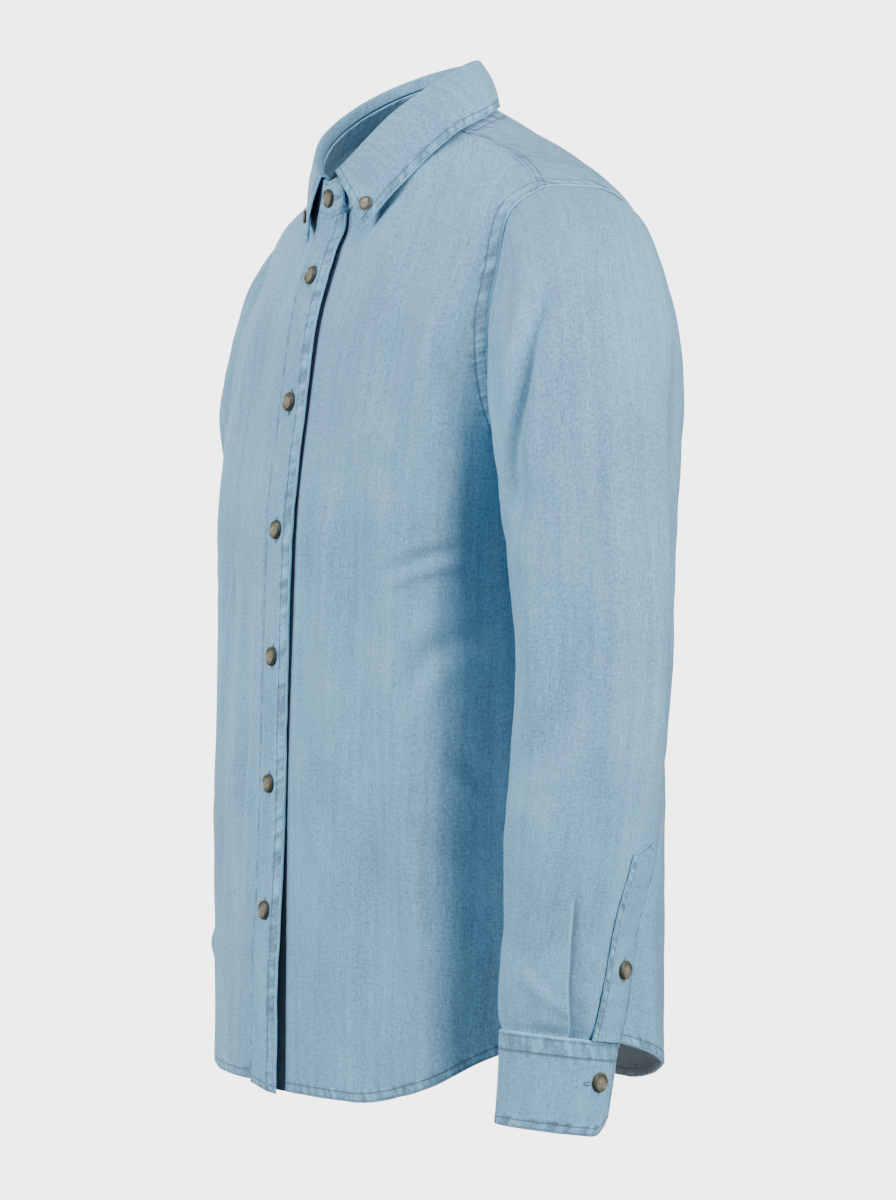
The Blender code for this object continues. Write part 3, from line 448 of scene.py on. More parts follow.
def valley(angle, height):
    """How far the cloth falls in under the arm."""
    across, along = circle(angle)
    forward = np.degrees(np.arctan2(-along, np.abs(across)))
    at_back = eased((forward - VALLEY_ENDS[0]) / (VALLEY_FULL[0] - VALLEY_ENDS[0]))
    at_front = eased((VALLEY_ENDS[1] - forward) / (VALLEY_ENDS[1] - VALLEY_FULL[1]))
    return smooth_columns(ARM_VALLEY, height)[..., 1] * at_back * at_front


def body(angle, height):
    """Points of the body at these angles and heights."""
    angle, height = np.broadcast_arrays(np.asarray(angle, float), np.asarray(height, float))
    points = ring_points(smooth_columns(BODY_RINGS, height), angle)
    points[..., 0] -= np.sign(points[..., 0]) * valley(angle, height)
    return points


def body_normal(angle, height):
    above = np.minimum(height + 1.0, 0)
    round_step = body(angle + 0.5, height) - body(angle - 0.5, height)
    return unit(np.cross(round_step, body(angle, above) - body(angle, above - 2.0)))


print("chest ring:", np.round(body(np.array([-90.0, 0.0, 90.0]), -180.0)[:, :2], 1).tolist())

# %% [markdown]
# ## A cloth's own map
# Folds, weave and stitches are laid out on the cloth as it would lie flat: u across it and v up
# it, in millimetres. For the body, u is the true length round the ring from the middle of the
# panel, and v the true length up the chest.

# %% Body map
MAP_SAMPLES = 20
chest_heights = np.linspace(-660, 0, 400)
chest_line = body(np.full(400, -60.0), chest_heights)
chest_run = np.concatenate([[0], np.cumsum(np.linalg.norm(np.diff(chest_line, axis=0), axis=1))])
CHEST_LEVEL = -122.0


def body_map(angle, height, middle):
    """The u and v of these places, with u counted from the angle of the panel's middle."""
    shares = np.linspace(0, 1, MAP_SAMPLES)
    path = body(middle + (angle - middle)[..., None] * shares, height[..., None])
    u = np.linalg.norm(np.diff(path, axis=-2), axis=-1).sum(-1) * np.sign(angle - middle)
    level = np.interp(CHEST_LEVEL, chest_heights, chest_run)
    v = np.interp(height, chest_heights, chest_run) - level + CHEST_LEVEL
    return np.stack([u, v], axis=-1)


print("half of the chest:", round(float(body_map(np.array(0.0), np.array(-180.0), -90.0)[0]), 1), "mm")

# %% [markdown]
# ## Listed folds
# Cloth that hangs from the shoulders falls in a few long soft folds, and short ones gather where
# it is pulled: from the collar point, under the arm and above a cuff. Simulation finds folds of
# its own choosing, so these are given one by one. Each row is one fold between two places on the
# cloth's map, bowed sideways, with its half width and its height: a ridge is positive, a trough
# negative. A trough pushes up a low ridge on each side of it, as pressed cloth does.

# %% Fold height
FOLD_DEPTH = 1.7
SIDE_RIDGE = (0.30, 2.1, 0.8)  # height, distance and spread, as shares of the fold's own
TAPER = (0.88, 0.06, 0.7)  # the part of a half wave along a fold, where it starts, its power
WAVE_LENGTHS = (150, 105, 80, 62, 47, 36, 28, 22)
WAVE_GROWTH = 0.6
WAVE_BREAK = 2.7


def fold_height(folds, places, scale=1.0):
    """How far folds lift the cloth at these (u, v) places, in mm."""
    total = np.zeros(places.shape[:-1])
    for start_u, start_v, end_u, end_v, bow, half_width, height in folds:
        start = np.array([start_u, start_v], float)
        line = np.array([end_u, end_v], float) - start
        length = np.linalg.norm(line)
        line /= length
        aside = np.array([-line[1], line[0]])
        share = np.clip((places - start) @ line / length, 0, 1)
        past = (places - start) @ line - share * length
        off = (places - start) @ aside - bow * 4 * share * (1 - share)
        off = np.hypot(off, past)
        taper = np.sin(np.pi * (share * TAPER[0] + TAPER[1])) ** TAPER[2]
        near = off / half_width
        ridge, ridge_at, ridge_spread = SIDE_RIDGE
        shape = np.exp(-near * near) - ridge * np.exp(-((near - ridge_at) ** 2) / ridge_spread)
        total += height * taper * shape
    return total * scale * FOLD_DEPTH


def unevenness(places, seed, height=0.32):
    """Low uneven waves, so that no stretch of the cloth is perfectly smooth."""
    chance = np.random.default_rng(seed)
    total = np.zeros(places.shape[:-1])
    for length in WAVE_LENGTHS:
        lean = chance.uniform(-0.9, 0.9)
        shift = chance.uniform(0, 2 * np.pi)
        over = (places[..., 0] + lean * places[..., 1]) * 2 * np.pi / length
        up = (places[..., 1] - lean * places[..., 0]) * 2 * np.pi / (length * WAVE_BREAK)
        growth = (length / WAVE_LENGTHS[0]) ** WAVE_GROWTH
        total += np.sin(over + shift) * np.sin(up + shift * 2) * growth
    return total * height


FRONT_FOLDS = (
    # start_u, start_v, end_u, end_v, bow, half_width, height
    (24, -195, 30, -335, 0, 7, 1.5),
    (38, -210, 37, -335, 1, 8, -1.2),
    (50, -215, 70, -378, 3, 9, 1.8),
    (84, -225, 104, -402, -6, 15, -2.4),
    (100, -385, 115, -560, 3, 15, -2.4),
    (22, -285, 41, -425, 2, 8, -1.4),
    (28, -402, 68, -495, 3, 8, 2.0),
    (101, -60, 106, -170, 7, 17, -3.2),
    (125, -108, 174, -236, -4, 15, 2.6),
    (103, -214, 126, -250, 2, 9, -1.6),
    (120, -290, 170, -275, 2, 4, -1.4),
    (124, -297, 172, -283, 2, 4, 1.0),
    (131, -332, 142, -366, 3, 9, -1.9),
    (140, -364, 180, -328, 8, 8, -1.9),
    (163, -402, 190, -432, 0, 7, -1.3),
    (158, -452, 188, -486, 0, 8, -1.3),
    (130, -430, 150, -520, 0, 12, 1.4),
    (90, -600, 95, -626, 0, 5, 1.0),
    (132, -598, 138, -622, 0, 5, 0.8),
    (60, -606, 62, -628, 0, 5, -0.8),
    (40, -64, 74, -150, -5, 12, -1.5),
    (62, -58, 120, -126, -6, 10, 1.2),
)
RIGHT_ONLY_FOLDS = (
    (82, -186, 74, -262, 5, 3, 0.7),
    (74, -258, 116, -416, 8, 3.2, 0.8),
    (30, -398, 31, -508, 0, 6, 1.2),
    (44, -300, 46, -480, 0, 8, -1.3),
    (96, -60, 118, -182, 8, 15, -1.4),
    (52, -70, 128, -262, 6, 13, 1.5),
    (90, -250, 100, -420, -6, 14, -2.0),
    (100, -400, 112, -566, 3, 14, -2.0),
    (136, -300, 176, -286, 2, 5, -1.3),
    (150, -360, 178, -336, 4, 8, -1.6),
    (160, -440, 184, -474, 0, 8, -1.2),
    (62, -560, 66, -620, 0, 6, 1.0),
)
BACK_FOLDS = (
    (-62, -88, -70, -420, 6, 13, -2.4),
    (-34, -110, -44, -560, -4, 14, 1.7),
    (4, -130, -6, -600, 5, 15, -2.0),
    (38, -104, 50, -430, -5, 13, 1.8),
    (66, -92, 78, -520, -6, 14, -2.6),
    (104, -150, 96, -610, 5, 15, 1.8),
    (-104, -160, -98, -590, -5, 15, 1.9),
    (140, -214, 100, -292, 6, 9, -2.2),
    (-140, -208, -104, -280, -6, 9, -2.0),
    (150, -250, 118, -330, 5, 8, 1.4),
    (-150, -246, -122, -318, -5, 8, 1.3),
    (134, -420, 130, -606, 4, 13, -2.0),
    (-136, -400, -130, -600, -4, 13, -2.2),
    (20, -350, 60, -334, 3, 5, -0.9),
    (-70, -352, -30, -366, 3, 5, -0.9),
)
YOKE_FOLDS = (
    (-60, -40, -120, -70, 4, 10, -1.0),
    (60, -40, 124, -72, -4, 10, -1.1),
    (0, -20, 2, -84, 2, 12, 0.8),
)
SLEEVE_FOLDS = (
    # u is counted from the outer side, negative towards the front
    (-88, -6, -112, -36, 0, 6, -1.8),
    (-40, -70, -80, -124, -5, 11, -4.2),
    (-76, -112, -74, -184, -12, 11, -4.4),
    (-58, -70, -96, -122, -4, 8, 1.6),
    (-26, -196, -36, -280, 0, 13, -2.6),
    (-34, -268, -62, -362, 5, 12, -2.8),
    (-76, -200, -58, -318, 6, 11, 2.2),
    (-6, -90, -15, -262, 2, 6, 1.0),
    (-14, -255, -2, -440, 0, 6, 0.9),
    (-48, -372, -42, -470, -3, 12, 1.6),
    (-68, -380, -56, -500, 4, 10, -1.4),
    (12, -150, 18, -330, 3, 12, -1.3),
    (34, -190, 30, -400, -4, 12, 1.4),
    (52, -120, 44, -300, 4, 13, -2.0),
    (70, -70, 54, -170, 5, 11, -2.0),
    (82, -200, 66, -330, 4, 11, 1.6),
    (-54, -504, -12, -542, -3, 4, 0.7),
    (-40, -516, -30, -552, 0, 5, 0.9),
    (-62, -530, -56, -556, 0, 4, -0.8),
    (-4, -520, -2, -556, 0, 4, 0.8),
    (40, -500, 44, -556, 0, 6, -1.0),
    (60, -470, 58, -556, 0, 7, 1.0),
    (90, -260, 104, -330, 0, 9, -2.2),
    (-108, -60, -96, -150, 0, 9, -1.6),
)
tables = (FRONT_FOLDS, RIGHT_ONLY_FOLDS, BACK_FOLDS, YOKE_FOLDS, SLEEVE_FOLDS)
print("folds:", sum(len(rows) for rows in tables))

# %% [markdown]
# ## One wall of cloth
# A cut piece starts as a grid of places on its outer face. The wall gets its thickness inwards,
# and at a free edge its two faces come together in a rounded rim, as a turned edge does. That
# needs close rows beside each edge, which spread() gives. A seam is never two edges that meet:
# one piece laps over the other, so one edge stands up a little and the other dives beneath it.

# %% Grid spacing
STEP = 3.1
EDGE_ROWS = np.array([0, 0.35, 0.9, 1.8])
REACH_ROWS = 4
TINY = 1e-9


def spread(length, first=True, last=True, step=STEP):
    """Shares of a line of this length in mm: even steps, and close ones beside its free ends."""
    low = EDGE_ROWS if first else EDGE_ROWS[:1]
    high = length - (EDGE_ROWS[::-1] if last else EDGE_ROWS[:1])
    count = max(int(round((high[0] - low[-1]) / step)), 1)
    inner = np.linspace(low[-1], high[0], count + 1)[1:-1]
    return np.concatenate([low, inner, high]) / length


def two_stretches(first_length, second_length, first_share):
    """Shares of a line of two stretches whose corner keeps its place at first_share."""
    one = spread(first_length, last=False) * first_share
    two = first_share + spread(second_length, first=False) * (1 - first_share)
    return np.concatenate([one, two[1:]])


print("columns of a 250 mm panel:", len(spread(250.0)))


# %% Distances and normals of a grid
def running(points, axis):
    """Length along the grid from its first edge, in mm."""
    steps = np.linalg.norm(np.diff(points, axis=axis), axis=-1)
    start = np.zeros_like(np.take(steps, [0], axis=axis))
    return np.concatenate([start, np.cumsum(steps, axis=axis)], axis=axis)


def own_map(points):
    """A map of a piece by its own lengths, for pieces that don't lie on the body."""
    return np.stack([running(points, 1), running(points, 0)], axis=-1)


def edge_distances(points):
    """How far each place lies from the left, right, bottom and top edge."""
    over = running(points, 1)
    up = running(points, 0)
    return {"left": over, "right": over[:, -1:] - over, "bottom": up, "top": up[-1:] - up}


def grid_normals(points, flip, closed=False):
    """Unit normals of a grid of points, outward if flip is chosen so."""
    over = np.gradient(points, axis=1)
    if closed:
        wrap = points[:, 1] - points[:, -2]
        over[:, 0] = over[:, -1] = wrap
    normal = np.cross(over, np.gradient(points, axis=0))
    normal /= np.linalg.norm(normal, axis=-1, keepdims=True) + TINY
    return -normal if flip else normal


def reach_past(points, edges):
    """The grid with some edges moved outward along the cloth, to lie under the next piece."""
    points = points.copy()
    for edge, amount in edges.items():
        rows = np.moveaxis(points, 1 if edge in ("left", "right") else 0, 0)
        if edge in ("right", "top"):
            rows = rows[::-1]
        away = rows[0] - rows[REACH_ROWS]
        away = away / (np.linalg.norm(away, axis=-1, keepdims=True) + TINY) * amount
        for depth in range(REACH_ROWS):
            rows[depth] += away * (1 - depth / REACH_ROWS)
    return points


# %% A piece of cloth
CLOTH = 1.3
ROUND_REACH = 0.9
FOLD_FADE = 1.2
BAND_FADE = 1.6
COVER_FADE = 5
PUCKER_STEP = 9.5
PUCKER_LEAN = 0.03
FAR_FROM_SEAM = 4.0
# The attribute that the wash reads for each pair of edges.
SEWN = {"side_edge": ("left", "right"), "end_edge": ("bottom", "top")}
cloths = {}


def grid_faces(rows, columns):
    """Corners of each face as (row, column) pairs of a grid."""
    r, c = np.meshgrid(np.arange(rows - 1), np.arange(columns - 1), indexing="ij")
    r, c = r.ravel(), c.ravel()
    return np.stack([r, r, r + 1, r + 1], 1), np.stack([c, c + 1, c + 1, c], 1)


def set_values(mesh, name, values, kind="FLOAT"):
    """A named attribute of this mesh's points."""
    attribute = mesh.attributes.new(name, kind, "POINT")
    key = "value" if kind == "FLOAT" else "vector"
    attribute.data.foreach_set(key, np.asarray(values, np.float32).ravel())


def raised(points, places, far, base, seams, lifts, bumps):
    """The outer face with its edges lifted and its sewn bands puckered."""
    rise = np.zeros(points.shape[:2])
    for edge, (height, width, soft) in lifts.items():
        rise += height * eased((width - far[edge]) / soft)
    chance = np.random.default_rng(len(cloths) + 5)
    for edge, width in seams.items():
        run = places[..., 1] if edge in ("left", "right") else places[..., 0]
        knots = np.arange(-80, 81)
        heights = chance.uniform(-1, 1, len(knots))
        wave = np.interp(run / PUCKER_STEP + far[edge] * PUCKER_LEAN, knots, heights)
        rise += bumps * wave * eased(far[edge] / 2) * eased((width * BAND_FADE - far[edge]) / width)
    return points + base * rise[..., None]


def cloth(
    name, points, places, thickness, flip, closed=False, seams=None, lifts=None, folded=None,
    bumps=0.0, shade_under_layer=None, shade_and_wear=0.0,
):
    """Makes one named piece.

    seams gives the width of the sewn band at each edge, lifts how far an edge stands up (and over
    what width), folded how much thicker the wall is inside a band, and bumps how high it puckers.
    The last two arguments paint shade into the colour. The first gives the width at an edge that
    another layer lies over, painted dark as the shade under that layer. The second says how dark
    each place is painted: 1 is as dark as that shade, as in a tuck's valley, and less than 0 is
    paler than the rest, as rubbed cloth.
    """
    seams = seams or {}
    far = edge_distances(points)
    base = grid_normals(points, flip, closed)
    points = raised(points, places, far, base, seams, lifts or {}, bumps)
    normal = grid_normals(points, flip, closed)
    wall = np.full(points.shape[:2], float(thickness))
    for edge, (extra, width) in (folded or {}).items():
        wall += extra * eased((width - far[edge]) / FOLD_FADE)
    free = ("bottom", "top") if closed else ("left", "right", "bottom", "top")
    nearest = np.minimum.reduce([far[edge] for edge in free])
    round_off = np.clip(nearest / ROUND_REACH, 0, 1)
    drop = wall / 2 * (1 - np.sqrt(1 - (1 - round_off) ** 2))
    outer = points - normal * drop[..., None]
    inner = points - normal * (wall - drop)[..., None]
    border = np.zeros(points.shape[:2], bool)
    border[[0, -1], :] = True
    if not closed:
        border[:, [0, -1]] = True
    middle = (outer + inner) / 2
    outer[border] = middle[border]

    rows, columns = points.shape[:2]
    used = columns - 1 if closed else columns
    keep = ~border[:, :used]

    def both(front_values, back_values):
        """Values for the outer face, and for the inner one without the rim they share."""
        outside = front_values[:, :used].reshape(keep.size, *front_values.shape[2:])
        return np.concatenate([outside, back_values[:, :used][keep]])

    front_index = np.arange(rows * used).reshape(rows, used)
    back_index = front_index.copy()
    back_index[keep] = rows * used + np.arange(keep.sum())
    r, c = grid_faces(rows, columns)
    turned = r[:, ::-1], c[:, ::-1]
    front, back = (turned, (r, c)) if flip else ((r, c), turned)
    faces = [front_index[front[0], front[1] % used], back_index[back[0], back[1] % used]]
    mesh = bpy.data.meshes.new(name)
    mesh.from_pydata((both(outer, inner) * MM).tolist(), [], np.concatenate(faces).tolist())
    corners = np.concatenate([places[front], places[back]])
    layer = mesh.uv_layers.new(name="cloth")
    layer.data.foreach_set("uv", (corners * MM).astype(np.float32).ravel())
    for attribute, edges in SEWN.items():
        near = [far[edge] / seams[edge] for edge in edges if edge in seams]
        near = np.minimum.reduce([np.full(points.shape[:2], FAR_FROM_SEAM)] + near)
        set_values(mesh, attribute, both(near, near))
    is_wrong = np.full(points.shape[:2], float(thickness == CLOTH))
    set_values(mesh, "wrong_side", both(is_wrong * 0, is_wrong))
    # Painted shade under a covering layer and in a tuck's valley; below 0 it is pale wear.
    dark = np.zeros(points.shape[:2]) + shade_and_wear
    for edge, width in (shade_under_layer or {}).items():
        dark = np.maximum(dark, eased((width - far[edge]) / COVER_FADE))
    set_values(mesh, "painted_shade_and_wear", both(dark, dark))
    mesh.materials.append(denim)
    mesh.shade_smooth()
    made = placed(name, mesh)
    cloths[name] = {"points": outer, "normal": normal, "far": far}
    return made


def sew_on(piece, node):
    """The piece stands for its solid, which is hidden, and is attached to the root body."""
    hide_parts(node)
    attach(piece, "root")
    print(piece.name, len(piece.data.polygons), "faces")


# %% [markdown]
# ## Edges of the cut pieces
# The armhole is a closed line through a dozen places on the body. The hem is a shirttail: high at
# the sides, deep at front and back. A Coons patch fills the area between four such lines.

# %% Armhole, hem and patch
WORDS = {1: "left", -1: "right"}
ARMHOLE = (
    # angle, height: from the underarm up the front and down the back
    (0, -233), (-12, -213), (-18.6, -172), (-20, -122), (-14.5, -62), (-5.5, -43.5),
    (2, -43.5), (12, -50), (20.5, -74), (22, -130), (20, -180), (12, -217),
)
YOKE_FRONT_NODE = 5
YOKE_BACK_NODE = 8
YOKE_NECK_ANGLE = 2
HEM_SIDE = -577
HEM_FRONT = (46, 50, 1.5)  # how far it drops, over what angle from the side, and the curve's power
HEM_BACK = (44, 65, 1.3)
SIDE_SHARE = 10 / 18
SEAM_SHARE = 1 / 3


def armhole(node):
    rows = np.array(ARMHOLE, float)
    low = np.floor(node).astype(int)
    part = (node - low)[..., None]
    before, start, end, after = (rows[(low + step) % len(rows)] for step in (-1, 0, 1, 2))
    return cubic(part, start, end, (end - before) / 2, (after - start) / 2)


def hem_height(angle):
    from_side = np.abs((np.asarray(angle, float) + 90) % 180 - 90)
    shape = np.where((np.sin(np.radians(angle)) > 0)[..., None], HEM_BACK, HEM_FRONT)
    part = np.minimum(from_side / shape[..., 1], 1)
    return HEM_SIDE - shape[..., 0] * np.sin(part * np.pi / 2) ** shape[..., 2]


def line(angles, heights):
    return np.stack(np.broadcast_arrays(np.asarray(angles, float), np.asarray(heights, float)), axis=-1)


def patch(bottom, top, left, right, across, up, top_power=1):
    """Chart places between four edge lines. A higher top_power keeps the top's bends near it."""
    across = across[None, :, None]
    up = up[:, None, None] ** top_power
    ruled = (1 - up) * bottom[None] + up * top[None]
    ruled = ruled + (1 - across) * left[:, None] + across * right[:, None]
    corners = (1 - across) * (1 - up) * bottom[0] + across * (1 - up) * bottom[-1]
    return ruled - corners - (1 - across) * up * top[0] - across * up * top[-1]


def front_angle(across, height):
    """The angle at which the ring of this height lies this far to the left of centre front."""
    ring = smooth_columns(BODY_RINGS, height)
    return -90 + np.degrees(np.arctan2(across, (ring[..., 5] - ring[..., 4]) / 2))


def bent(shares, corner, first, middle, last):
    """Values that run evenly from first to middle at the corner share, and on to last."""
    return np.interp(shares, [0, corner, 1], [first, middle, last])


def mirrored(places):
    """Angle and height on the right for places on the left."""
    return places * np.array([-1, 1]) + np.array([180, 0])


def laid_on_body(chart, middle):
    """Points, normals and the cloth's own map of a chart of angles and heights."""
    angle, height = chart[..., 0], chart[..., 1]
    return body(angle, height), body_normal(angle, height), body_map(angle, height, middle)


def dressed(points, normal, rise, edges):
    return reach_past(points + normal * rise[..., None], edges)


print("hem heights, side and front:", hem_height(np.array([0.0, -90.0])))

# %% [markdown]
# ## The fronts
# Each front runs from its side seam to the button stand and from the hem to the yoke and neck. The
# wearer's right front laps over the left one, so the cloth near the stand is lifted.

# %% Fronts
PLACKET_HALF = 16
FRONT_ENDS = {1: (PLACKET_HALF - 3, 0.0), -1: (PLACKET_HALF - 5, 6.0)}  # reach, rise of its hem
HEM_WIDTH = 6.0
ARMHOLE_BAND = 9.0
LAP_LIFTS = (
    # height, lift, fade_width
    (-660, 8.6, 80), (-540, 7.8, 75), (-500, 5.6, 70), (-300, 4.8, 60),
    (-120, 5.6, 45), (-40, 5.6, 25), (0, 4.2, 22),
)


def lap_lift(angle, height):
    lap = smooth_columns(LAP_LIFTS, height)
    across = np.maximum(-body(angle, height)[..., 0], 0)
    return lap[..., 1] * eased((PLACKET_HALF + lap[..., 2] - across) / lap[..., 2])


def front_chart(edge_x, hem_raise):
    across = two_stretches(110, 170, SEAM_SHARE)
    up = two_stretches(344, 235, SIDE_SHARE)
    under_arm = ARMHOLE[0][1]
    hem_angle = front_angle(edge_x, HEM_SIDE - HEM_FRONT[0])
    bottom_angles = hem_angle * across
    bottom = line(bottom_angles, hem_height(bottom_angles) + hem_raise * across)
    node = np.clip((up - SIDE_SHARE) / (1 - SIDE_SHARE), 0, 1) * YOKE_FRONT_NODE
    seam = line(0, bent(up, SIDE_SHARE, HEM_SIDE, under_arm, 0))
    outer = np.where((up < SIDE_SHARE)[:, None], seam, armhole(node))
    corner = outer[-1]
    neck_angle = front_angle(edge_x, 0)
    top_angles = bent(across, SEAM_SHARE, corner[0], YOKE_NECK_ANGLE, neck_angle)
    top = line(top_angles, bent(across, SEAM_SHARE, corner[1], 0, 0))
    heights = bent(up, SIDE_SHARE, bottom[-1, 1], under_arm, 0)
    inner = line(front_angle(edge_x, heights), heights)
    inner[0], inner[-1] = bottom[-1], top[-1]
    return patch(bottom, top, outer, inner, across, up, 8)


def make_front(side):
    """Side is 1 for the wearer's left and -1 for the right."""
    chart = front_chart(*FRONT_ENDS[side])
    if side < 0:
        chart = chart * np.array([-1, 1]) - np.array([180, 0])
    points, normal, places = laid_on_body(chart, -90.0)
    places = places * np.array([side, 1])
    folds = FRONT_FOLDS if side > 0 else RIGHT_ONLY_FOLDS
    rise = fold_height(folds, places) + unevenness(places, 3 + side)
    far = edge_distances(points)
    rise = rise * eased((far["top"] - 4) / 30) * eased((far["right"] - 4) / 22)
    if side < 0:
        rise = rise + lap_lift(chart[..., 0], chart[..., 1])
    points = dressed(points, normal, rise, {"top": 3.0})
    name = "front_" + WORDS[side]
    lifts = {"left": (0.7, ARMHOLE_BAND, 2.5), "top": (-1.3, 2.6, 2.2)}
    lifts["right"] = (-1.3, 5.0, 2.0) if side < 0 else (-1.6, 6.0, 5.0)
    piece = cloth(
        name + "_cloth", points, places, CLOTH, side > 0,
        seams={"left": ARMHOLE_BAND, "bottom": HEM_WIDTH}, lifts=lifts,
        folded={"bottom": (1.3, HEM_WIDTH)}, bumps=0.35,
        # painted shade where the top band lies over this edge
        shade_under_layer={"right": 9.0} if side > 0 else None,
    )
    sew_on(piece, name)


for side in WORDS:
    make_front(side)

# %% [markdown]
# ## The back and the yoke
# The back hangs in long soft folds from the yoke, a double layer that carries the shoulders. Its
# front edge is the seam that shows forward of each shoulder. The yoke laps over the panels below.


# %% Back
def make_back():
    up = two_stretches(344, 190, SIDE_SHARE)
    across = spread(470)
    past_side = np.clip((up - SIDE_SHARE) / (1 - SIDE_SHARE), 0, 1)
    node = len(ARMHOLE) - past_side * (len(ARMHOLE) - YOKE_BACK_NODE)
    seam = line(0, bent(up, SIDE_SHARE, HEM_SIDE, ARMHOLE[0][1], 0))
    left = np.where((up < SIDE_SHARE)[:, None], seam, armhole(node))
    right = mirrored(left)
    bottom = line(180 * across, hem_height(180 * across))
    top = line(left[-1, 0] + (right[-1, 0] - left[-1, 0]) * across, left[-1, 1])
    chart = patch(bottom, top, left, right, across, up)
    points, normal, places = laid_on_body(chart, 90.0)
    calm = eased((edge_distances(points)["top"] - 4) / 20)
    rise = (fold_height(BACK_FOLDS, places) + unevenness(places, 11)) * calm
    points = dressed(points, normal, rise, {"top": 3.0})
    is_side = eased((SIDE_SHARE - up) / 0.02 + 0.5)[:, None]
    side_lift = (0.7 - 1.5 * is_side, ARMHOLE_BAND - 6.0 * is_side, 2.5)
    piece = cloth(
        "back_cloth", points, places, CLOTH, False,
        seams={"left": ARMHOLE_BAND, "right": ARMHOLE_BAND, "bottom": HEM_WIDTH},
        lifts={"left": side_lift, "right": side_lift, "top": (-1.3, 2.6, 2.2)},
        folded={"bottom": (1.3, HEM_WIDTH)}, bumps=0.35,
    )
    sew_on(piece, "back")


make_back()


# %% Yoke
YOKE_ARM_SHARE = 5 / 26
YOKE_MIDDLE_COLUMNS = 110


def yoke_arm(share):
    """The armhole's line between the yoke's two corners, by share of the yoke's end."""
    share = np.clip(share / YOKE_ARM_SHARE, 0, 1)
    return armhole(YOKE_FRONT_NODE + share * (YOKE_BACK_NODE - YOKE_FRONT_NODE))


def make_yoke():
    arm = spread(95, last=False) * YOKE_ARM_SHARE
    middle = np.linspace(YOKE_ARM_SHARE, 1 - YOKE_ARM_SHARE, YOKE_MIDDLE_COLUMNS)[1:-1]
    across = np.concatenate([arm, middle, 1 - arm[::-1]])
    up = spread(120)
    start, end = ARMHOLE[YOKE_BACK_NODE]
    seam_share = (across - YOKE_ARM_SHARE) / (1 - 2 * YOKE_ARM_SHARE)
    seam = line(start + (180 - 2 * start) * seam_share, end)
    outer = np.where((across >= 1 - YOKE_ARM_SHARE)[:, None], mirrored(yoke_arm(1 - across)), seam)
    outer = np.where((across <= YOKE_ARM_SHARE)[:, None], yoke_arm(across), outer)
    neck = line(YOKE_NECK_ANGLE + (180 - 2 * YOKE_NECK_ANGLE) * across, 0)
    ends = [neck[at] + (outer[at] - neck[at]) * up[:, None] for at in (0, -1)]
    chart = patch(neck, outer, ends[0], ends[1], across, up)[::-1]
    points, normal, places = laid_on_body(chart, 90.0)
    calm = eased((edge_distances(points)["top"] - 4) / 20)
    rise = (fold_height(YOKE_FOLDS, places) + unevenness(places, 19, 0.22)) * calm
    points = dressed(points, normal, rise, {"top": 2.0})
    arm_lift = (0.8, 5.0, 1.6)
    piece = cloth(
        "yoke_cloth", points, places, CLOTH, False,
        seams={"left": 5.0, "right": 5.0, "bottom": 7.0, "top": 12.0},
        lifts={"left": arm_lift, "right": arm_lift, "bottom": (0.7, 7.0, 2.0), "top": (-1.0, 2.6, 2.4)},
        bumps=0.35,
    )
    sew_on(piece, "yoke")


make_yoke()

# %% [markdown]
# ## The button stand
# The top band is a strip of its own, stitched down both edges and left a little deeper than the
# hem. Under it the left front ends in a plain band that carries the buttons. Cloth that the top
# layer covers is painted dark, as the shade under it.

# %% Bands
BAND_CLOTH = 1.9
UNDER_BAND_SINK = -1.5


def band_points(left_x, right_x, drops, over_lap, seed):
    """A band between two places across, and how far its foot drops below the hem at each."""
    across = spread(right_x - left_x, step=2.4)
    up = two_stretches(390, 235, SIDE_SHARE)
    foot = HEM_SIDE - HEM_FRONT[0] - (drops[0] + (drops[1] - drops[0]) * across)
    low = foot[None] + (ARMHOLE[0][1] - foot[None]) * (up[:, None] / SIDE_SHARE)
    high = bent(up, SIDE_SHARE, 0, ARMHOLE[0][1], 0)[:, None]
    heights = np.where((up < SIDE_SHARE)[:, None], low, high)
    angle = front_angle(left_x + (right_x - left_x) * across[None, :], heights)
    points, normal, places = laid_on_body(np.stack([angle, heights], axis=-1), -90.0)
    lift = lap_lift(angle, heights) + over_lap if over_lap else UNDER_BAND_SINK
    return dressed(points, normal, unevenness(places, seed, 0.25) + lift, {}), places


points, places = band_points(-PLACKET_HALF, PLACKET_HALF, (-4.0, 1.5), 0.5, 23)
made = cloth(
    "placket_band", points, places, BAND_CLOTH, False,
    seams={"left": 2.6, "right": 7.0, "bottom": 5.0}, lifts={"right": (-2.4, 9.0, 8.0)}, bumps=0.45,
)
sew_on(made, "placket_top")
points, places = band_points(-14, 17, (0, 0), 0.0, 29)
# The under band is painted dark all over, as shade under the top band.
made = cloth(
    "under_band", points, places, BAND_CLOTH, False, seams={"bottom": 5.0}, shade_under_layer={"right": 50.0}
)
sew_on(made, "placket_under")
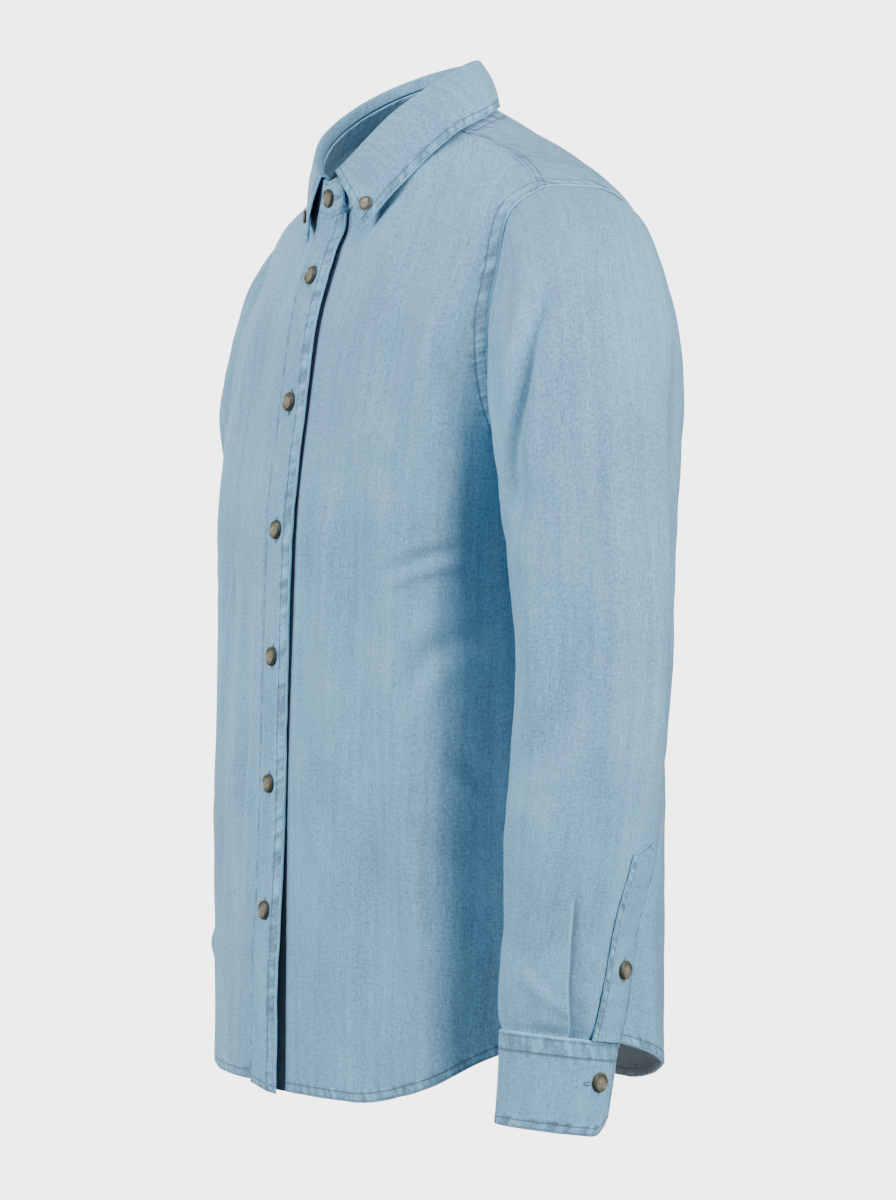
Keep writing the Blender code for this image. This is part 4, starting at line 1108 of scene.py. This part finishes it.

# %% [markdown]
# ## The sleeves
# Each sleeve is a tube set into the armhole. Below the head it is a stack of slanting rings. The
# body's edge laps over its head, its foot goes into the cuff, and one sharp tuck takes in its width
# at the cuff. The front edge of the tuck stands proud and is rubbed pale, and the cloth behind it
# dips into a valley whose colour is darkened as painted shade.

# %% Sleeve tables
SLEEVE_RINGS = (
    # run, inner_x, inner_z, outer_x, outer_z, front_y, back_y, front_rise
    (0.00, 187, -233, 178, -43, -60, 62, 0),
    (0.02, 189.5, -234, 189, -49, -63, 64, 0),
    (0.07, 191.5, -241, 213, -69.5, -71, 62, 0),
    (0.16, 191.5, -252, 241, -117, -77, 56, 0),
    (0.26, 191.5, -272, 261, -180, -77, 43.5, 2),
    (0.36, 191.5, -302, 272, -245, -76, 36, 3),
    (0.46, 192.5, -345, 278, -315, -72, 31, 4),
    (0.60, 194.5, -405, 280, -392, -76, 23.5, 5),
    (0.74, 198, -463, 279, -458, -82, 15, 6),
    (0.84, 199, -505, 275, -503, -81, 3, 7),
    (0.90, 198.5, -530, 274, -529, -83, 0, 8),
    (0.95, 199, -552, 272.5, -551, -85, -2, 9),
    (1.00, 200, -572, 269, -572, -83, -6, 10),
)
SLEEVE_LENGTH = 560
HEAD_RUN = 0.3
RIGHT_SLEEVE_SWING = 37
SWING_FULL_RUN = 0.35
TUCK_LINE = ((0.74, -27.0), (0.86, -26.5), (0.92, -25.0), (1.0, -18.5))
TUCK_START = 0.765
TUCK_NODES = (4.9, 5.6)
TUCK_COLUMNS = 29
TUCK_STEP = 1.2
TUCK_RIDGE = (1.9, 13)  # height before the fold, and over what length it fades
TUCK_VALLEY = (3.6, 8)
# painted shade in the tuck's valley, then the pale wear on its edge: how strong, and how fast each fades
TUCK_PAINTED_SHADE = (1.5, 2.0)
TUCK_PALE = (0.7, 1.1)
STRIP_CALM = (0.70, 30)  # where the strip's place on the sleeve begins, and its angle


def slanted_ring(rows, at, turn, grow=0.0):
    """Places on a stack of slanting rings, each this much wider than its row says."""
    at, turn = np.broadcast_arrays(np.asarray(at, float), np.asarray(turn, float))
    columns = np.moveaxis(smooth_columns(rows, at)[..., 1:], -1, 0)
    inner_x, inner_z, outer_x, outer_z, front_y, back_y, rise = columns
    across, along = circle(turn)
    x = (outer_x + inner_x) / 2 + ((outer_x - inner_x) / 2 + grow) * across
    y = (back_y + front_y) / 2 + ((back_y - front_y) / 2 + grow) * along
    z = (outer_z + inner_z) / 2 + (outer_z - inner_z) / 2 * across - rise / 2 * along
    return np.stack([x, y, z], axis=-1)


def swung(points, run, side):
    """The right sleeve mirrors the left one, but hangs a little further back."""
    if side > 0:
        return points
    points = points * np.array([-1.0, 1, 1])
    points[..., 1] += RIGHT_SLEEVE_SWING * eased(np.broadcast_to(run, points.shape[:-1]) / SWING_FULL_RUN)
    return points


def tuck(run, turn, radius):
    """The tuck's rise, and its marks: painted shade in the valley, pale wear on the edge over it."""
    deep = eased((run - TUCK_START) / (1 - TUCK_START)) ** 0.8
    past = np.radians(turn - np.interp(run, *np.array(TUCK_LINE).T)) * radius
    before, after = np.maximum(-past, 0), np.maximum(past, 0)
    end = (1 - run) * SLEEVE_LENGTH
    over = TUCK_RIDGE[0] * np.exp(-before / TUCK_RIDGE[1]) * eased((end - 3) / 8)
    under = -TUCK_VALLEY[0] * np.exp(-after / TUCK_VALLEY[1])
    behind = eased(past / TUCK_STEP + 0.5)
    step = eased(past / (TUCK_STEP + 3.0 * eased((16 - end) / 12)) + 0.5)
    rise = deep * (over + (under - over) * step)
    # painted shade in the valley behind the fold
    dark = TUCK_PAINTED_SHADE[0] * behind * np.exp(-after / TUCK_PAINTED_SHADE[1])
    pale = TUCK_PALE[0] * (1 - behind) * np.exp(-before / TUCK_PALE[1])
    return rise, (dark - pale) * eased(deep / 0.25)


# %% Sleeves
def make_sleeve(side, columns=120):
    nodes = np.linspace(0, len(ARMHOLE), columns + 1)
    nodes = np.unique(np.round(np.concatenate([nodes, np.linspace(*TUCK_NODES, TUCK_COLUMNS)]), 4))
    outer_side = np.searchsorted(nodes, len(ARMHOLE) / 2)
    run = spread(SLEEVE_LENGTH)[:, None]
    turn = 180 + nodes[None, :] * 360 / len(ARMHOLE) - 360
    place = armhole(nodes)
    head = body(place[:, 0], place[:, 1])
    wall = slanted_ring(SLEEVE_RINGS, run, turn)
    points = wall + (head - wall[0]) * eased(1 - run / HEAD_RUN)[..., None]
    u = running(wall, 1)
    u = u - u[:, outer_side][:, None]
    places = np.stack([u, np.broadcast_to(-run * SLEEVE_LENGTH, u.shape)], axis=-1)
    points[:, -1] = points[:, 0]
    ring_radius = running(wall, 1)[:, -1:] / (2 * np.pi)
    strip = eased((run - STRIP_CALM[0]) / 0.04) * eased((26 - np.abs(turn - STRIP_CALM[1])) / 8)
    scale, shift = (1.0, (0, 0)) if side > 0 else (0.85, (4.0, 9.0))
    folds = fold_height(SLEEVE_FOLDS, places + np.array(shift), scale)
    rise = (folds + unevenness(places, 38 + side)) * (1 - strip)
    rise = rise * eased((run * SLEEVE_LENGTH - 3) / 14) * eased(((1 - run) * SLEEVE_LENGTH + 2) / 8)
    tuck_rise, tuck_shade_and_wear = tuck(run, turn, ring_radius)
    rise = rise + tuck_rise
    rise[:, -1] = rise[:, 0] = (rise[:, 0] + rise[:, -1]) / 2
    points = points + grid_normals(points, True, True) * rise[..., None]
    points = reach_past(swung(points, run, side), {"bottom": 3.6, "top": 4.0})
    word = WORDS[side]
    piece = cloth(
        f"sleeve_{word}_cloth", points, places, CLOTH, side > 0, closed=True,
        lifts={"bottom": (-0.75, 4.5, 2.6), "top": (-1.4, 9.0, 4.0)}, shade_and_wear=tuck_shade_and_wear,
    )
    sew_on(piece, "sleeve_" + word)


for side in WORDS:
    make_sleeve(side)

# %% [markdown]
# ## Cuffs and sleeve plackets
# A cuff is a stiff double band wound once round the wrist. One end laps over the other, and the
# lower corners are cut off. The slit above it is finished with a pointed strip, the placket.

# %% Cuffs
CUFF_RINGS = (
    # share of the way down, then as for the sleeve
    (0, 200.5, -571.6, 268, -571.6, -82.5, -6.5, 10),
    (1, 201, -630, 266, -630, -85.5, -16, 10),
)
CUFF_CLOTH = 2.5
CUFF_TURNS = (45, -342)
CUFF_CLIP = (0.79, 17.0)
CUFF_STAND_OFF = 0.9
CUFF_LENGTH = 243
CUFF_SINK = (3.4, 235, 55)  # the under end goes in this far, from this angle, over this one
CUFF_UNDER_CUT = (1.04, 285, 50)  # and is cut shorter, so that it stays behind the corner


def make_cuff(side):
    first, last = CUFF_TURNS
    turn = first + (last - first) * spread(CUFF_LENGTH, step=2.4)[None, :]
    wound = first - turn
    from_end = np.minimum(wound, turn - last) * CUFF_LENGTH / (first - last)
    short, clip = CUFF_CLIP
    lowest = short + (1 - short) * np.sin(np.minimum(from_end / clip, 1) * np.pi / 2)
    cut, cut_from, cut_over = CUFF_UNDER_CUT
    lowest = np.minimum(lowest, 1 - (cut - short) * eased((wound - cut_from) / cut_over))
    down = spread(58, step=2.4)[:, None] * lowest
    sink, sink_from, sink_over = CUFF_SINK
    stand_off = CUFF_STAND_OFF - sink * eased((wound - sink_from) / sink_over)
    points = swung(slanted_ring(CUFF_RINGS, down, turn, stand_off), 1.0, side)
    places = own_map(points)
    base = grid_normals(points, side < 0)
    waves = unevenness(places, 41 + side, 0.22)
    word = WORDS[side]
    piece = cloth(
        f"cuff_{word}_band", points + base * waves[..., None], places, CUFF_CLOTH, side < 0,
        seams={"bottom": 12.0, "top": 5.2, "left": 4.5, "right": 4.5}, bumps=0.4,
    )
    sew_on(piece, "cuff_" + word)


for side in WORDS:
    make_cuff(side)

# %% Sleeve plackets
STRIP_LINE = ((0.70, 37), (0.80, 32), (0.90, 27), (1.0, 22))
STRIP_HALF = 13.5
STRIP_RUNS = (0.723, 0.740, 1.0)
STRIP_LIFT = 1.8
STRIP_CLOTH = 1.4
STRIP_SEAM = 3.4


def strip_place(run, across, lift, side):
    """Places on the sleeve this far across from the strip's middle line."""

    def wall(ahead, round_on):
        return slanted_ring(SLEEVE_RINGS, run + ahead, turn + round_on)

    rows = smooth_columns(SLEEVE_RINGS, run)
    radius = (rows[..., 3] - rows[..., 1] + rows[..., 6] - rows[..., 5]) / 4
    turn = smooth_columns(STRIP_LINE, run)[..., 1] + np.degrees(across / radius)
    normal = unit(np.cross(wall(0.005, 0) - wall(-0.005, 0), wall(0, 1) - wall(0, -1)))
    return swung(wall(0, 0) + normal * lift[..., None], run, side)


def make_strip(side):
    point_share = 0.07
    share = two_stretches(11, 145, point_share)
    run = bent(share, point_share, *STRIP_RUNS)[:, None]
    half = np.interp(run, STRIP_RUNS, [0.8, STRIP_HALF, STRIP_HALF])
    across = half * (spread(27, step=2.2) * 2 - 1)[None, :]
    run = np.broadcast_to(run, across.shape)
    lift = STRIP_LIFT + 0.35 * np.cos(across / STRIP_HALF * 1.5) + 0.2 * np.sin(run * 190)
    points = strip_place(run, across, lift, side)
    places = np.stack([across, -run * SLEEVE_LENGTH], axis=-1)
    word = WORDS[side]
    piece = cloth(
        f"sleeve_strip_{word}", points, places, STRIP_CLOTH, side > 0,
        seams={"left": STRIP_SEAM, "right": STRIP_SEAM, "bottom": STRIP_SEAM}, bumps=0.2,
    )
    sew_on(piece, "sleeve_placket_" + word)


for side in WORDS:
    make_strip(side)

# %% [markdown]
# ## The collar
# The stand rings the neck and laps right over left at the front. The leaf rises from its top edge,
# turns over, and falls to two points that button to the fronts. The edge on the wearer's right sags
# a little, so that it covers the stand where the two meet the eye edge-on.

# %% Stand
STAND_FOOT = (-0.4, -52.8, 24.1, 68.3, -79.2, 27.7, 2.00, 2.05)
STAND_TOP = (26, -29, 43, 56, -79.5, 15.5, 2.00, 2.05)
COLLAR_SLUMP = 8
COLLAR_SLUMP_ANGLE = 184
STAND_LAP = 15
STAND_LIFT = 3.8
STAND_LENGTH = 400
STAND_END = (0.72, 8)  # height of the rounded ends, and over what length they fall to it
LEAF_FRONT_ANGLES = (-78, -81)


def collar_ring(share, angle):
    rings = np.array(STAND_FOOT) * (1 - share[..., None]) + np.array(STAND_TOP) * share[..., None]
    points = ring_points(rings, angle)
    lean = np.maximum(circle(angle - COLLAR_SLUMP_ANGLE)[0], 0) ** 2
    points[..., 2] -= COLLAR_SLUMP * lean * share
    return points


def outward(angle):
    return np.stack([*circle(angle), np.zeros_like(angle)], axis=-1)


def make_stand():
    end = np.degrees(np.arctan2(STAND_LAP, (STAND_TOP[5] - STAND_TOP[4]) / 2))
    along = spread(STAND_LENGTH, step=2.6)
    angle = (-90 + end - (360 + 2 * end) * along)[None, :]
    from_end = np.minimum(along, 1 - along) * STAND_LENGTH
    short, rounded = STAND_END
    lowest = np.minimum(1, short + (1 - short) * from_end / rounded)
    share = spread(29, step=2.4)[:, None] * lowest[None, :]
    angle = np.broadcast_to(angle, share.shape)
    lift = STAND_LIFT * eased(1 - (-90 - angle) / 55) + 0.6 * eased(1 - share / 0.4)
    points = dressed(collar_ring(share, angle), outward(angle), lift, {"bottom": 1.5})
    places = own_map(points)
    piece = cloth(
        "collar_stand_band", points, places, 2.0, True,
        seams={"bottom": 3.2, "top": 2.6, "left": 3.0, "right": 3.0},
        folded={"bottom": (2.2, 6.0)}, bumps=0.35,
    )
    sew_on(piece, "collar_stand")


make_stand()

# %% Leaf
LEAF_ROLL = ((0, 0.35, -1.0), (4, 5.0, -0.7), (8, 8.6, 0.5), (10.5, 9.6, 3.0), (13, 8.6, 5.2))
LEAF_EDGE = (
    # share of the way from centre back to the point, then x, y, z of the leaf's edge
    (-0.2, -45, 20, 21), (0, 0, 31.5, 24.5), (0.2, 45, 20, 21), (0.4, 71, -4, 11),
    (0.6, 78.5, -33, -3), (0.8, 67, -62, -32), (1.0, 47, -82.5, -62),
)
LEAF_RIGHT_POINT_SHIFT = (16, -2.5, -4)
LEAF_RIGHT_SAG = (-0.78, 0.16, 11)  # share round the leaf, half width, depth
LEAF_BULGE = 1.8


def make_leaf():
    share = spread(480, step=2.8) * 2 - 1
    angle = 90 - (90 - np.where(share > 0, *LEAF_FRONT_ANGLES)) * share
    out = outward(angle)
    up = np.array([0, 0, 1.0])
    near_front = eased((np.abs(share) - 0.62) / 0.38)
    seam = collar_ring(np.ones_like(share), angle) + out * near_front[:, None]
    tall = (1 - 0.72 * eased((np.abs(share) - 0.70) / 0.30))[:, None]
    roll = smooth_columns(LEAF_ROLL, np.array([0, 0.4, 1.0, 2, 4, 6, 8, 9, 10, 11, 12, 13]))[:, 1:]
    foot = LEAF_ROLL[0][1]
    rows = [seam + up * (foot + (rise - foot) * tall) + out * reach for rise, reach in roll]
    edge = smooth_columns(LEAF_EDGE, np.abs(share))[:, 1:]
    edge[:, 0] *= np.sign(share)
    edge += eased((-share - 0.8) / 0.2)[:, None] * np.array(LEAF_RIGHT_POINT_SHIFT)
    sag_share, sag_width, sag = LEAF_RIGHT_SAG
    edge[:, 2] -= sag * np.exp(-(((share - sag_share) / sag_width) ** 2))
    top = rows[-1]
    for drop in spread(60, first=False, step=2.8)[1:]:
        bulge = LEAF_BULGE * np.sin(np.pi * drop)
        rows.append(top * (1 - drop) + edge * drop + (out + up) * bulge)
    points = np.stack(rows)
    places = own_map(points)
    places[..., 0] -= places[:, points.shape[1] // 2, 0][:, None]
    waves = unevenness(places, 53, 0.25) * eased((running(points, 0) - 14) / 12)
    points = points + grid_normals(points, False) * waves[..., None]
    piece = cloth(
        "collar_leaf_cloth", points, places, 1.7, False,
        seams={"top": 5.5, "left": 5.5, "right": 5.5}, folded={"top": (0.5, 6.0)}, bumps=0.5,
    )
    sew_on(piece, "collar_leaf")


make_leaf()

# %% [markdown]
# ## Stitches by Geometry Nodes
# A row of stitches is one small spindle of thread repeated along a path, so a node tree makes it:
# the path's edges become a curve, the curve is cut at the stitch length, and a spindle is set at
# each place, turned along the path and up from the cloth. The same tree set crosswise and close
# together works a buttonhole. It ends in Realize Instances and Set Material, and the result is
# kept as a plain mesh.


# %% Stitch tree
def stitch_tree():
    tree = bpy.data.node_groups.new("stitches", "GeometryNodeTree")
    face = tree.interface
    face.new_socket("Geometry", in_out="INPUT", socket_type="NodeSocketGeometry")
    sockets = {}
    for name, kind in (("Pitch", "Float"), ("Size", "Vector"), ("Thread", "Material")):
        sockets[name] = face.new_socket(name, in_out="INPUT", socket_type="NodeSocket" + kind).identifier
    face.new_socket("Geometry", in_out="OUTPUT", socket_type="NodeSocketGeometry")
    given = tree.nodes.new("NodeGroupInput").outputs
    outputs = tree.nodes.new("NodeGroupOutput")
    curve = first(tree, "GeometryNodeMeshToCurve", [("Mesh", given["Geometry"])])
    values = [("Curve", curve), ("Length", given["Pitch"])]
    cut = first(tree, "GeometryNodeResampleCurve", values, mode="LENGTH")
    tangent = first(tree, "GeometryNodeInputTangent")
    along = first(tree, "FunctionNodeAlignRotationToVector", [("Vector", tangent)], axis="Z")
    up = first(tree, "GeometryNodeInputNamedAttribute", [("Name", "up")], data_type="FLOAT_VECTOR")
    values = [("Rotation", along), ("Vector", up)]
    upright = first(tree, "FunctionNodeAlignRotationToVector", values, axis="X", pivot_axis="Z")
    spindle = first(tree, "GeometryNodeMeshUVSphere", [("Segments", 6), ("Rings", 4), ("Radius", 0.5)])
    values = [("Points", cut), ("Instance", spindle), ("Rotation", upright), ("Scale", given["Size"])]
    repeated = first(tree, "GeometryNodeInstanceOnPoints", values)
    real = first(tree, "GeometryNodeRealizeInstances", [(0, repeated)])
    smooth = first(tree, "GeometryNodeSetShadeSmooth", [("Geometry", real)])
    values = [("Geometry", smooth), ("Material", given["Thread"])]
    threaded = first(tree, "GeometryNodeSetMaterial", values)
    tree.links.new(threaded, outputs.inputs[0])
    return tree, sockets


stitches, stitch_sockets = stitch_tree()
print("tree:", stitches.name, stitch_sockets)


def sew(name, paths, pitch, size, material):
    """One mesh of stitches along these paths of (places, up directions), all in mm."""
    mesh = bpy.data.meshes.new(name)
    places = np.concatenate([path for path, _ in paths]) * MM
    edges = []
    start = 0
    for path, _ in paths:
        edges += [(start + at, start + at + 1) for at in range(len(path) - 1)]
        start += len(path)
    mesh.from_pydata(places.tolist(), edges, [])
    set_values(mesh, "up", np.concatenate([ups for _, ups in paths]), "FLOAT_VECTOR")
    maker = placed(name + "_maker", mesh)
    modifier = maker.modifiers.new("stitches", "NODES")
    modifier.node_group = stitches
    modifier[stitch_sockets["Pitch"]] = pitch * MM
    modifier[stitch_sockets["Size"]] = [value * MM for value in size]
    modifier[stitch_sockets["Thread"]] = material
    graph = bpy.context.evaluated_depsgraph_get()
    result = bpy.data.meshes.new_from_object(maker.evaluated_get(graph))
    result.name = name
    bpy.data.objects.remove(maker)
    made = placed(name, result)
    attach(made, "root")
    print(name, len(result.polygons), "faces")


# %% [markdown]
# ## Where the seams are sewn
# A seam line lies at a fixed distance from one edge of a piece. It is read off the piece's own
# outer face, so the stitches sit on the cloth whatever its folds do.

# %% Seam lines
MOST_CLEARANCE = 3.0
CLEARANCE_SHARE = 0.8


def seam_line(name, edge, distance, start=0.0, lift=0.05):
    """Places along a piece at this distance in mm from an edge, and the way up there."""
    piece = cloths[name]
    axis = 0 if edge in ("left", "right") else 1
    others = ("bottom", "top") if axis == 0 else ("left", "right")
    points, normal = np.moveaxis(piece["points"], axis, 0), np.moveaxis(piece["normal"], axis, 0)
    reach, *ends = [np.moveaxis(piece["far"][key], axis, 0) for key in (edge, *others)]
    path, ups = [], []
    for at in range(int(start * (len(points) - 1)), len(points)):
        order = np.argsort(reach[at])

        def there(values):
            return np.interp(distance, reach[at][order], values[at][order])

        # A row stops where it would cross the next edge.
        if min(there(ends[0]), there(ends[1])) < min(distance, MOST_CLEARANCE) * CLEARANCE_SHARE:
            continue
        upward = [there(normal[..., axis_at]) for axis_at in range(3)]
        place = [there(points[..., axis_at]) for axis_at in range(3)]
        path.append(np.array(place) + np.array(upward) * lift)
        ups.append(upward)
    return np.array(path), np.array(ups)


SEAM_STITCH = (2.9, (0.30, 0.42, 2.2))  # pitch, then height, width and length
ARMHOLE_START = 0.58
BODY_LINES = (
    # piece, edge, distance, and where the row starts if not at the foot
    ("front_left_cloth", "bottom", HEM_WIDTH), ("front_right_cloth", "bottom", HEM_WIDTH),
    ("back_cloth", "bottom", HEM_WIDTH),
    ("front_left_cloth", "left", ARMHOLE_BAND), ("front_left_cloth", "left", 1.6),
    ("front_right_cloth", "left", ARMHOLE_BAND), ("front_right_cloth", "left", 1.6),
    ("back_cloth", "left", ARMHOLE_BAND, ARMHOLE_START),
    ("back_cloth", "right", ARMHOLE_BAND, ARMHOLE_START),
    ("placket_band", "left", 2.6), ("placket_band", "right", 7.0),
    ("yoke_cloth", "left", 1.8), ("yoke_cloth", "right", 1.8),
    ("yoke_cloth", "left", 5.0), ("yoke_cloth", "right", 5.0),
    ("yoke_cloth", "bottom", 1.8), ("yoke_cloth", "bottom", 7.0),
)
COLLAR_LINES = (
    ("collar_leaf_cloth", "top", 5.5), ("collar_leaf_cloth", "left", 5.5),
    ("collar_leaf_cloth", "right", 5.5),
    ("collar_stand_band", "bottom", 3.2), ("collar_stand_band", "top", 2.6),
    ("collar_stand_band", "left", 3.0), ("collar_stand_band", "right", 3.0),
)
CUFF_ROWS = (("bottom", 12.0), ("bottom", 1.8), ("top", 5.2), ("left", 4.5), ("right", 4.5))
STRIP_ROWS = (("left", STRIP_SEAM), ("right", STRIP_SEAM), ("bottom", STRIP_SEAM), ("bottom", 28.0))
CUFF_LINES = [
    (piece.format(word), *row)
    for piece, rows in (("cuff_{}_band", CUFF_ROWS), ("sleeve_strip_{}", STRIP_ROWS))
    for word in WORDS.values()
    for row in rows
]
for name, lines in (("body", BODY_LINES), ("collar", COLLAR_LINES), ("cuff", CUFF_LINES)):
    paths = [seam_line(*entry) for entry in lines]
    paths = [path for path in paths if len(path[0]) > 2]
    sew(name + "_stitches", paths, *SEAM_STITCH, thread)

# %% [markdown]
# ## Buttons
# Each button is a turned disc: a raised rim, a dished middle and four holes. The top is a grid of
# rings whose height follows one formula, so the holes are real wells. It is set in its solid's
# place, found from the solid's own middle and its thinnest direction.

# %% Button shape
RING_SHARES = np.array(
    [0.07, 0.14, 0.2, 0.26, 0.32, 0.38, 0.45, 0.52, 0.6, 0.68, 0.76, 0.84, 0.9, 0.95, 0.98, 1.0]
)
TURN_STEPS = 40
# Below, all sizes are shares of the button's radius.
HOLE_REACH = 0.23
HOLE_OFF = HOLE_REACH * 0.707
HOLE_HALF = 0.095
HOLE_WALL = 0.045
HOLE_DEPTH = 0.16
DISH = 0.30
RIM = (0.11, 0.80, 0.12)  # height, place and spread
ROUNDING = (0.16, 0.86)  # drop, and where it starts
LOW_RIM = 0.10
FOOT = 0.8


def button_height(share, x, y):
    """Height of the top face."""
    rim, rim_at, rim_spread = RIM
    height = DISH + rim * np.exp(-(((share - rim_at) / rim_spread) ** 2))
    drop, drop_from = ROUNDING
    height = height - drop * np.clip((share - drop_from) / (1 - drop_from), 0, 1) ** 2
    for hole_x, hole_y in ((1, 1), (1, -1), (-1, 1), (-1, -1)):
        off = np.hypot(x - hole_x * HOLE_OFF, y - hole_y * HOLE_OFF)
        height = height - HOLE_DEPTH * eased((HOLE_HALF - off) / HOLE_WALL)
    return height


def button_data(name, radius):
    angles = np.linspace(0, 2 * np.pi, TURN_STEPS, endpoint=False)
    share = RING_SHARES[:, None] * np.ones(TURN_STEPS)
    x, y = share * np.cos(angles), share * np.sin(angles)
    tops = np.stack([x, y, button_height(share, x, y)], -1).reshape(-1, 3)
    low = np.stack([x[-1], y[-1], np.full(TURN_STEPS, LOW_RIM)], -1)
    foot = low * (FOOT, FOOT, 0)
    centre = np.array([[0, 0, float(button_height(0.0, 0.0, 0.0))], [0, 0, 0]])
    corners = np.concatenate([tops, low, foot, centre]) * radius * MM
    top_middle, foot_middle = len(corners) - 2, len(corners) - 1
    last_ring = top_middle - TURN_STEPS
    around = [(at, (at + 1) % TURN_STEPS) for at in range(TURN_STEPS)]
    faces = []
    for ring in range(0, last_ring, TURN_STEPS):
        after = ring + TURN_STEPS
        faces += [(ring + at, after + at, after + to, ring + to) for at, to in around]
    for at, to in around:
        faces.append((top_middle, at, to))
        faces.append((foot_middle, last_ring + to, last_ring + at))
    mesh = bpy.data.meshes.new(name)
    mesh.from_pydata(corners.tolist(), [], faces)
    reach = np.hypot(corners[:, 0], corners[:, 1]) / (radius * MM)
    layer = mesh.uv_layers.new(name="button")
    loops = np.array([loop.vertex_index for loop in mesh.loops])
    shares = np.stack([reach[loops], np.full(len(loops), 0.5)], -1)
    layer.data.foreach_set("uv", shares.astype(np.float32).ravel())
    mesh.materials.append(horn)
    mesh.shade_smooth()
    return mesh


# %% Seats of the buttons
SHIRT_MIDDLE = np.array([0, 0, -300.0])
THREAD_LEVEL = 0.29
THREAD_REACH = 1.15
THREAD_PAIR = 0.22
THREAD_BOW = 0.45
THREAD_STITCH = (0.45, (0.42, 0.42, 0.75))


def seat_of(node, inside):
    """Middle of the back, outward direction and radius of a button's solid, in mm."""
    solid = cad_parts[node]
    corners = np.array([tuple(vertex.co) for vertex in solid.data.vertices]) / MM
    middle = (corners.min(0) + corners.max(0)) / 2
    spreads = np.linalg.svd(corners - corners.mean(0))[2]
    out = spreads[2]
    if out @ (middle - inside) < 0:
        out = -out
    heights = (corners - middle) @ out
    flat = (corners - middle) - np.outer(heights, out)
    return middle + out * heights.min(), out, np.linalg.norm(flat, axis=1).max()


def sleeve_middle(word):
    lowest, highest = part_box("cuff_" + word)
    return (np.array(lowest) + np.array(highest)) / 2 / MM


BUTTON_THREAD = []


def make_button(node, inside):
    seat, out, radius = seat_of(node, inside)
    spin = Vector(out).to_track_quat("Z", "Y").to_matrix().to_4x4()
    mesh = button_data(node + "_horn", radius)
    mesh.transform(spin)
    mesh.transform(Matrix.Translation(Vector(seat * MM)))
    made = placed(node + "_horn", mesh)
    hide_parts(node)
    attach(made, "root")
    side_way = np.array(spin.col[0][:3])
    up_way = np.array(spin.col[1][:3])
    top = seat + out * radius * THREAD_LEVEL
    near = HOLE_OFF * radius
    for step in (-1, 1):
        for offset in (-THREAD_PAIR, THREAD_PAIR):
            middle = top + side_way * (near * step + offset)
            reach = up_way * near * THREAD_REACH
            strand = np.array([middle - reach, middle + out * THREAD_BOW, middle + reach])
            BUTTON_THREAD.append((strand, np.array([out] * 3)))
    return seat, out


seats = {}
for node in sorted(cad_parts):
    if node.startswith("button_"):
        word = node.rsplit("_", 1)[1]
        low_arm = node.startswith(("button_cuff", "button_sleeve"))
        seats[node] = make_button(node, sleeve_middle(word) if low_arm else SHIRT_MIDDLE)
sew("button_threads", BUTTON_THREAD, *THREAD_STITCH, pale_thread)
print("buttons:", len(seats))

# %% [markdown]
# ## Buttonholes
# Behind each button the hole shows as a narrow oval of close crosswise stitches, upright on the
# button stand and level on the collar stand and the cuffs.


# %% Buttonholes
HOLE_HALF_WIDTH = 1.15
HOLE_SINK = 0.15
HOLE_ASIDE = 4.0
HOLE_STITCH = (0.5, (0.32, 1.6, 0.55))
LEVEL_HOLES = ("button_cuff", "button_stand")


def hole_path(middle, out, long_way, half_length):
    """An oval with straight sides, crosswise to out."""
    wide_way = np.cross(out, long_way)
    turns = np.linspace(0, 2 * np.pi, 33)[:, None]
    lengths = np.clip(np.cos(turns) * half_length * 1.15, -half_length, half_length)
    places = middle + long_way * lengths + wide_way * np.sin(turns) * HOLE_HALF_WIDTH
    return places, np.array([out] * len(turns))


holes = []
for node, (seat, out) in seats.items():
    level = unit(np.cross(np.array([0, 0, 1.0]), out))
    middle = seat - out * HOLE_SINK
    if node.startswith(LEVEL_HOLES):
        aside = -HOLE_ASIDE if "left" in node else HOLE_ASIDE
        holes.append(hole_path(middle + level * aside, out, level, 8.0))
    elif node.startswith(("button_front", "button_sleeve")):
        half_length = 8.0 if node.startswith("button_front") else 7.5
        holes.append(hole_path(middle, out, np.cross(out, level), half_length))
sew("buttonhole_stitches", holes, *HOLE_STITCH, thread)

# %% [markdown]
# ## Floor and finish
# The floor is one pale disc a little below the hem. It glows as much as the backdrop, so that no
# horizon crosses behind the shirt, and only the camera sees it: no light from it reaches the
# shirt, whose inside is lit by the small lamp under the hem.

# %% Stage
FLOOR_LEVEL = -0.78
FLOOR_RADIUS = 1.5
FLOOR_SIDES = 64


def pale_floor():
    made, _, shader = new_material("pale_floor")
    looks = {
        "Base Color": (0.02, 0.02, 0.02, 1), "Specular IOR Level": 0.0, "Roughness": 1.0,
        "Emission Color": BACKDROP, "Emission Strength": BACKDROP_LIGHT,
    }
    for key, value in looks.items():
        shader.inputs[key].default_value = value
    mesh = bpy.data.meshes.new("pale_floor")
    x, y = np.array(circle(np.linspace(0, 360, FLOOR_SIDES, endpoint=False))) * FLOOR_RADIUS
    corners = np.stack([x, y, np.full(FLOOR_SIDES, FLOOR_LEVEL)], axis=1)
    mesh.from_pydata(corners.tolist(), [], [list(range(FLOOR_SIDES))])
    mesh.materials.append(made)
    floor = placed("pale_floor", mesh)
    floor.visible_diffuse = False
    floor.visible_glossy = False


pale_floor()
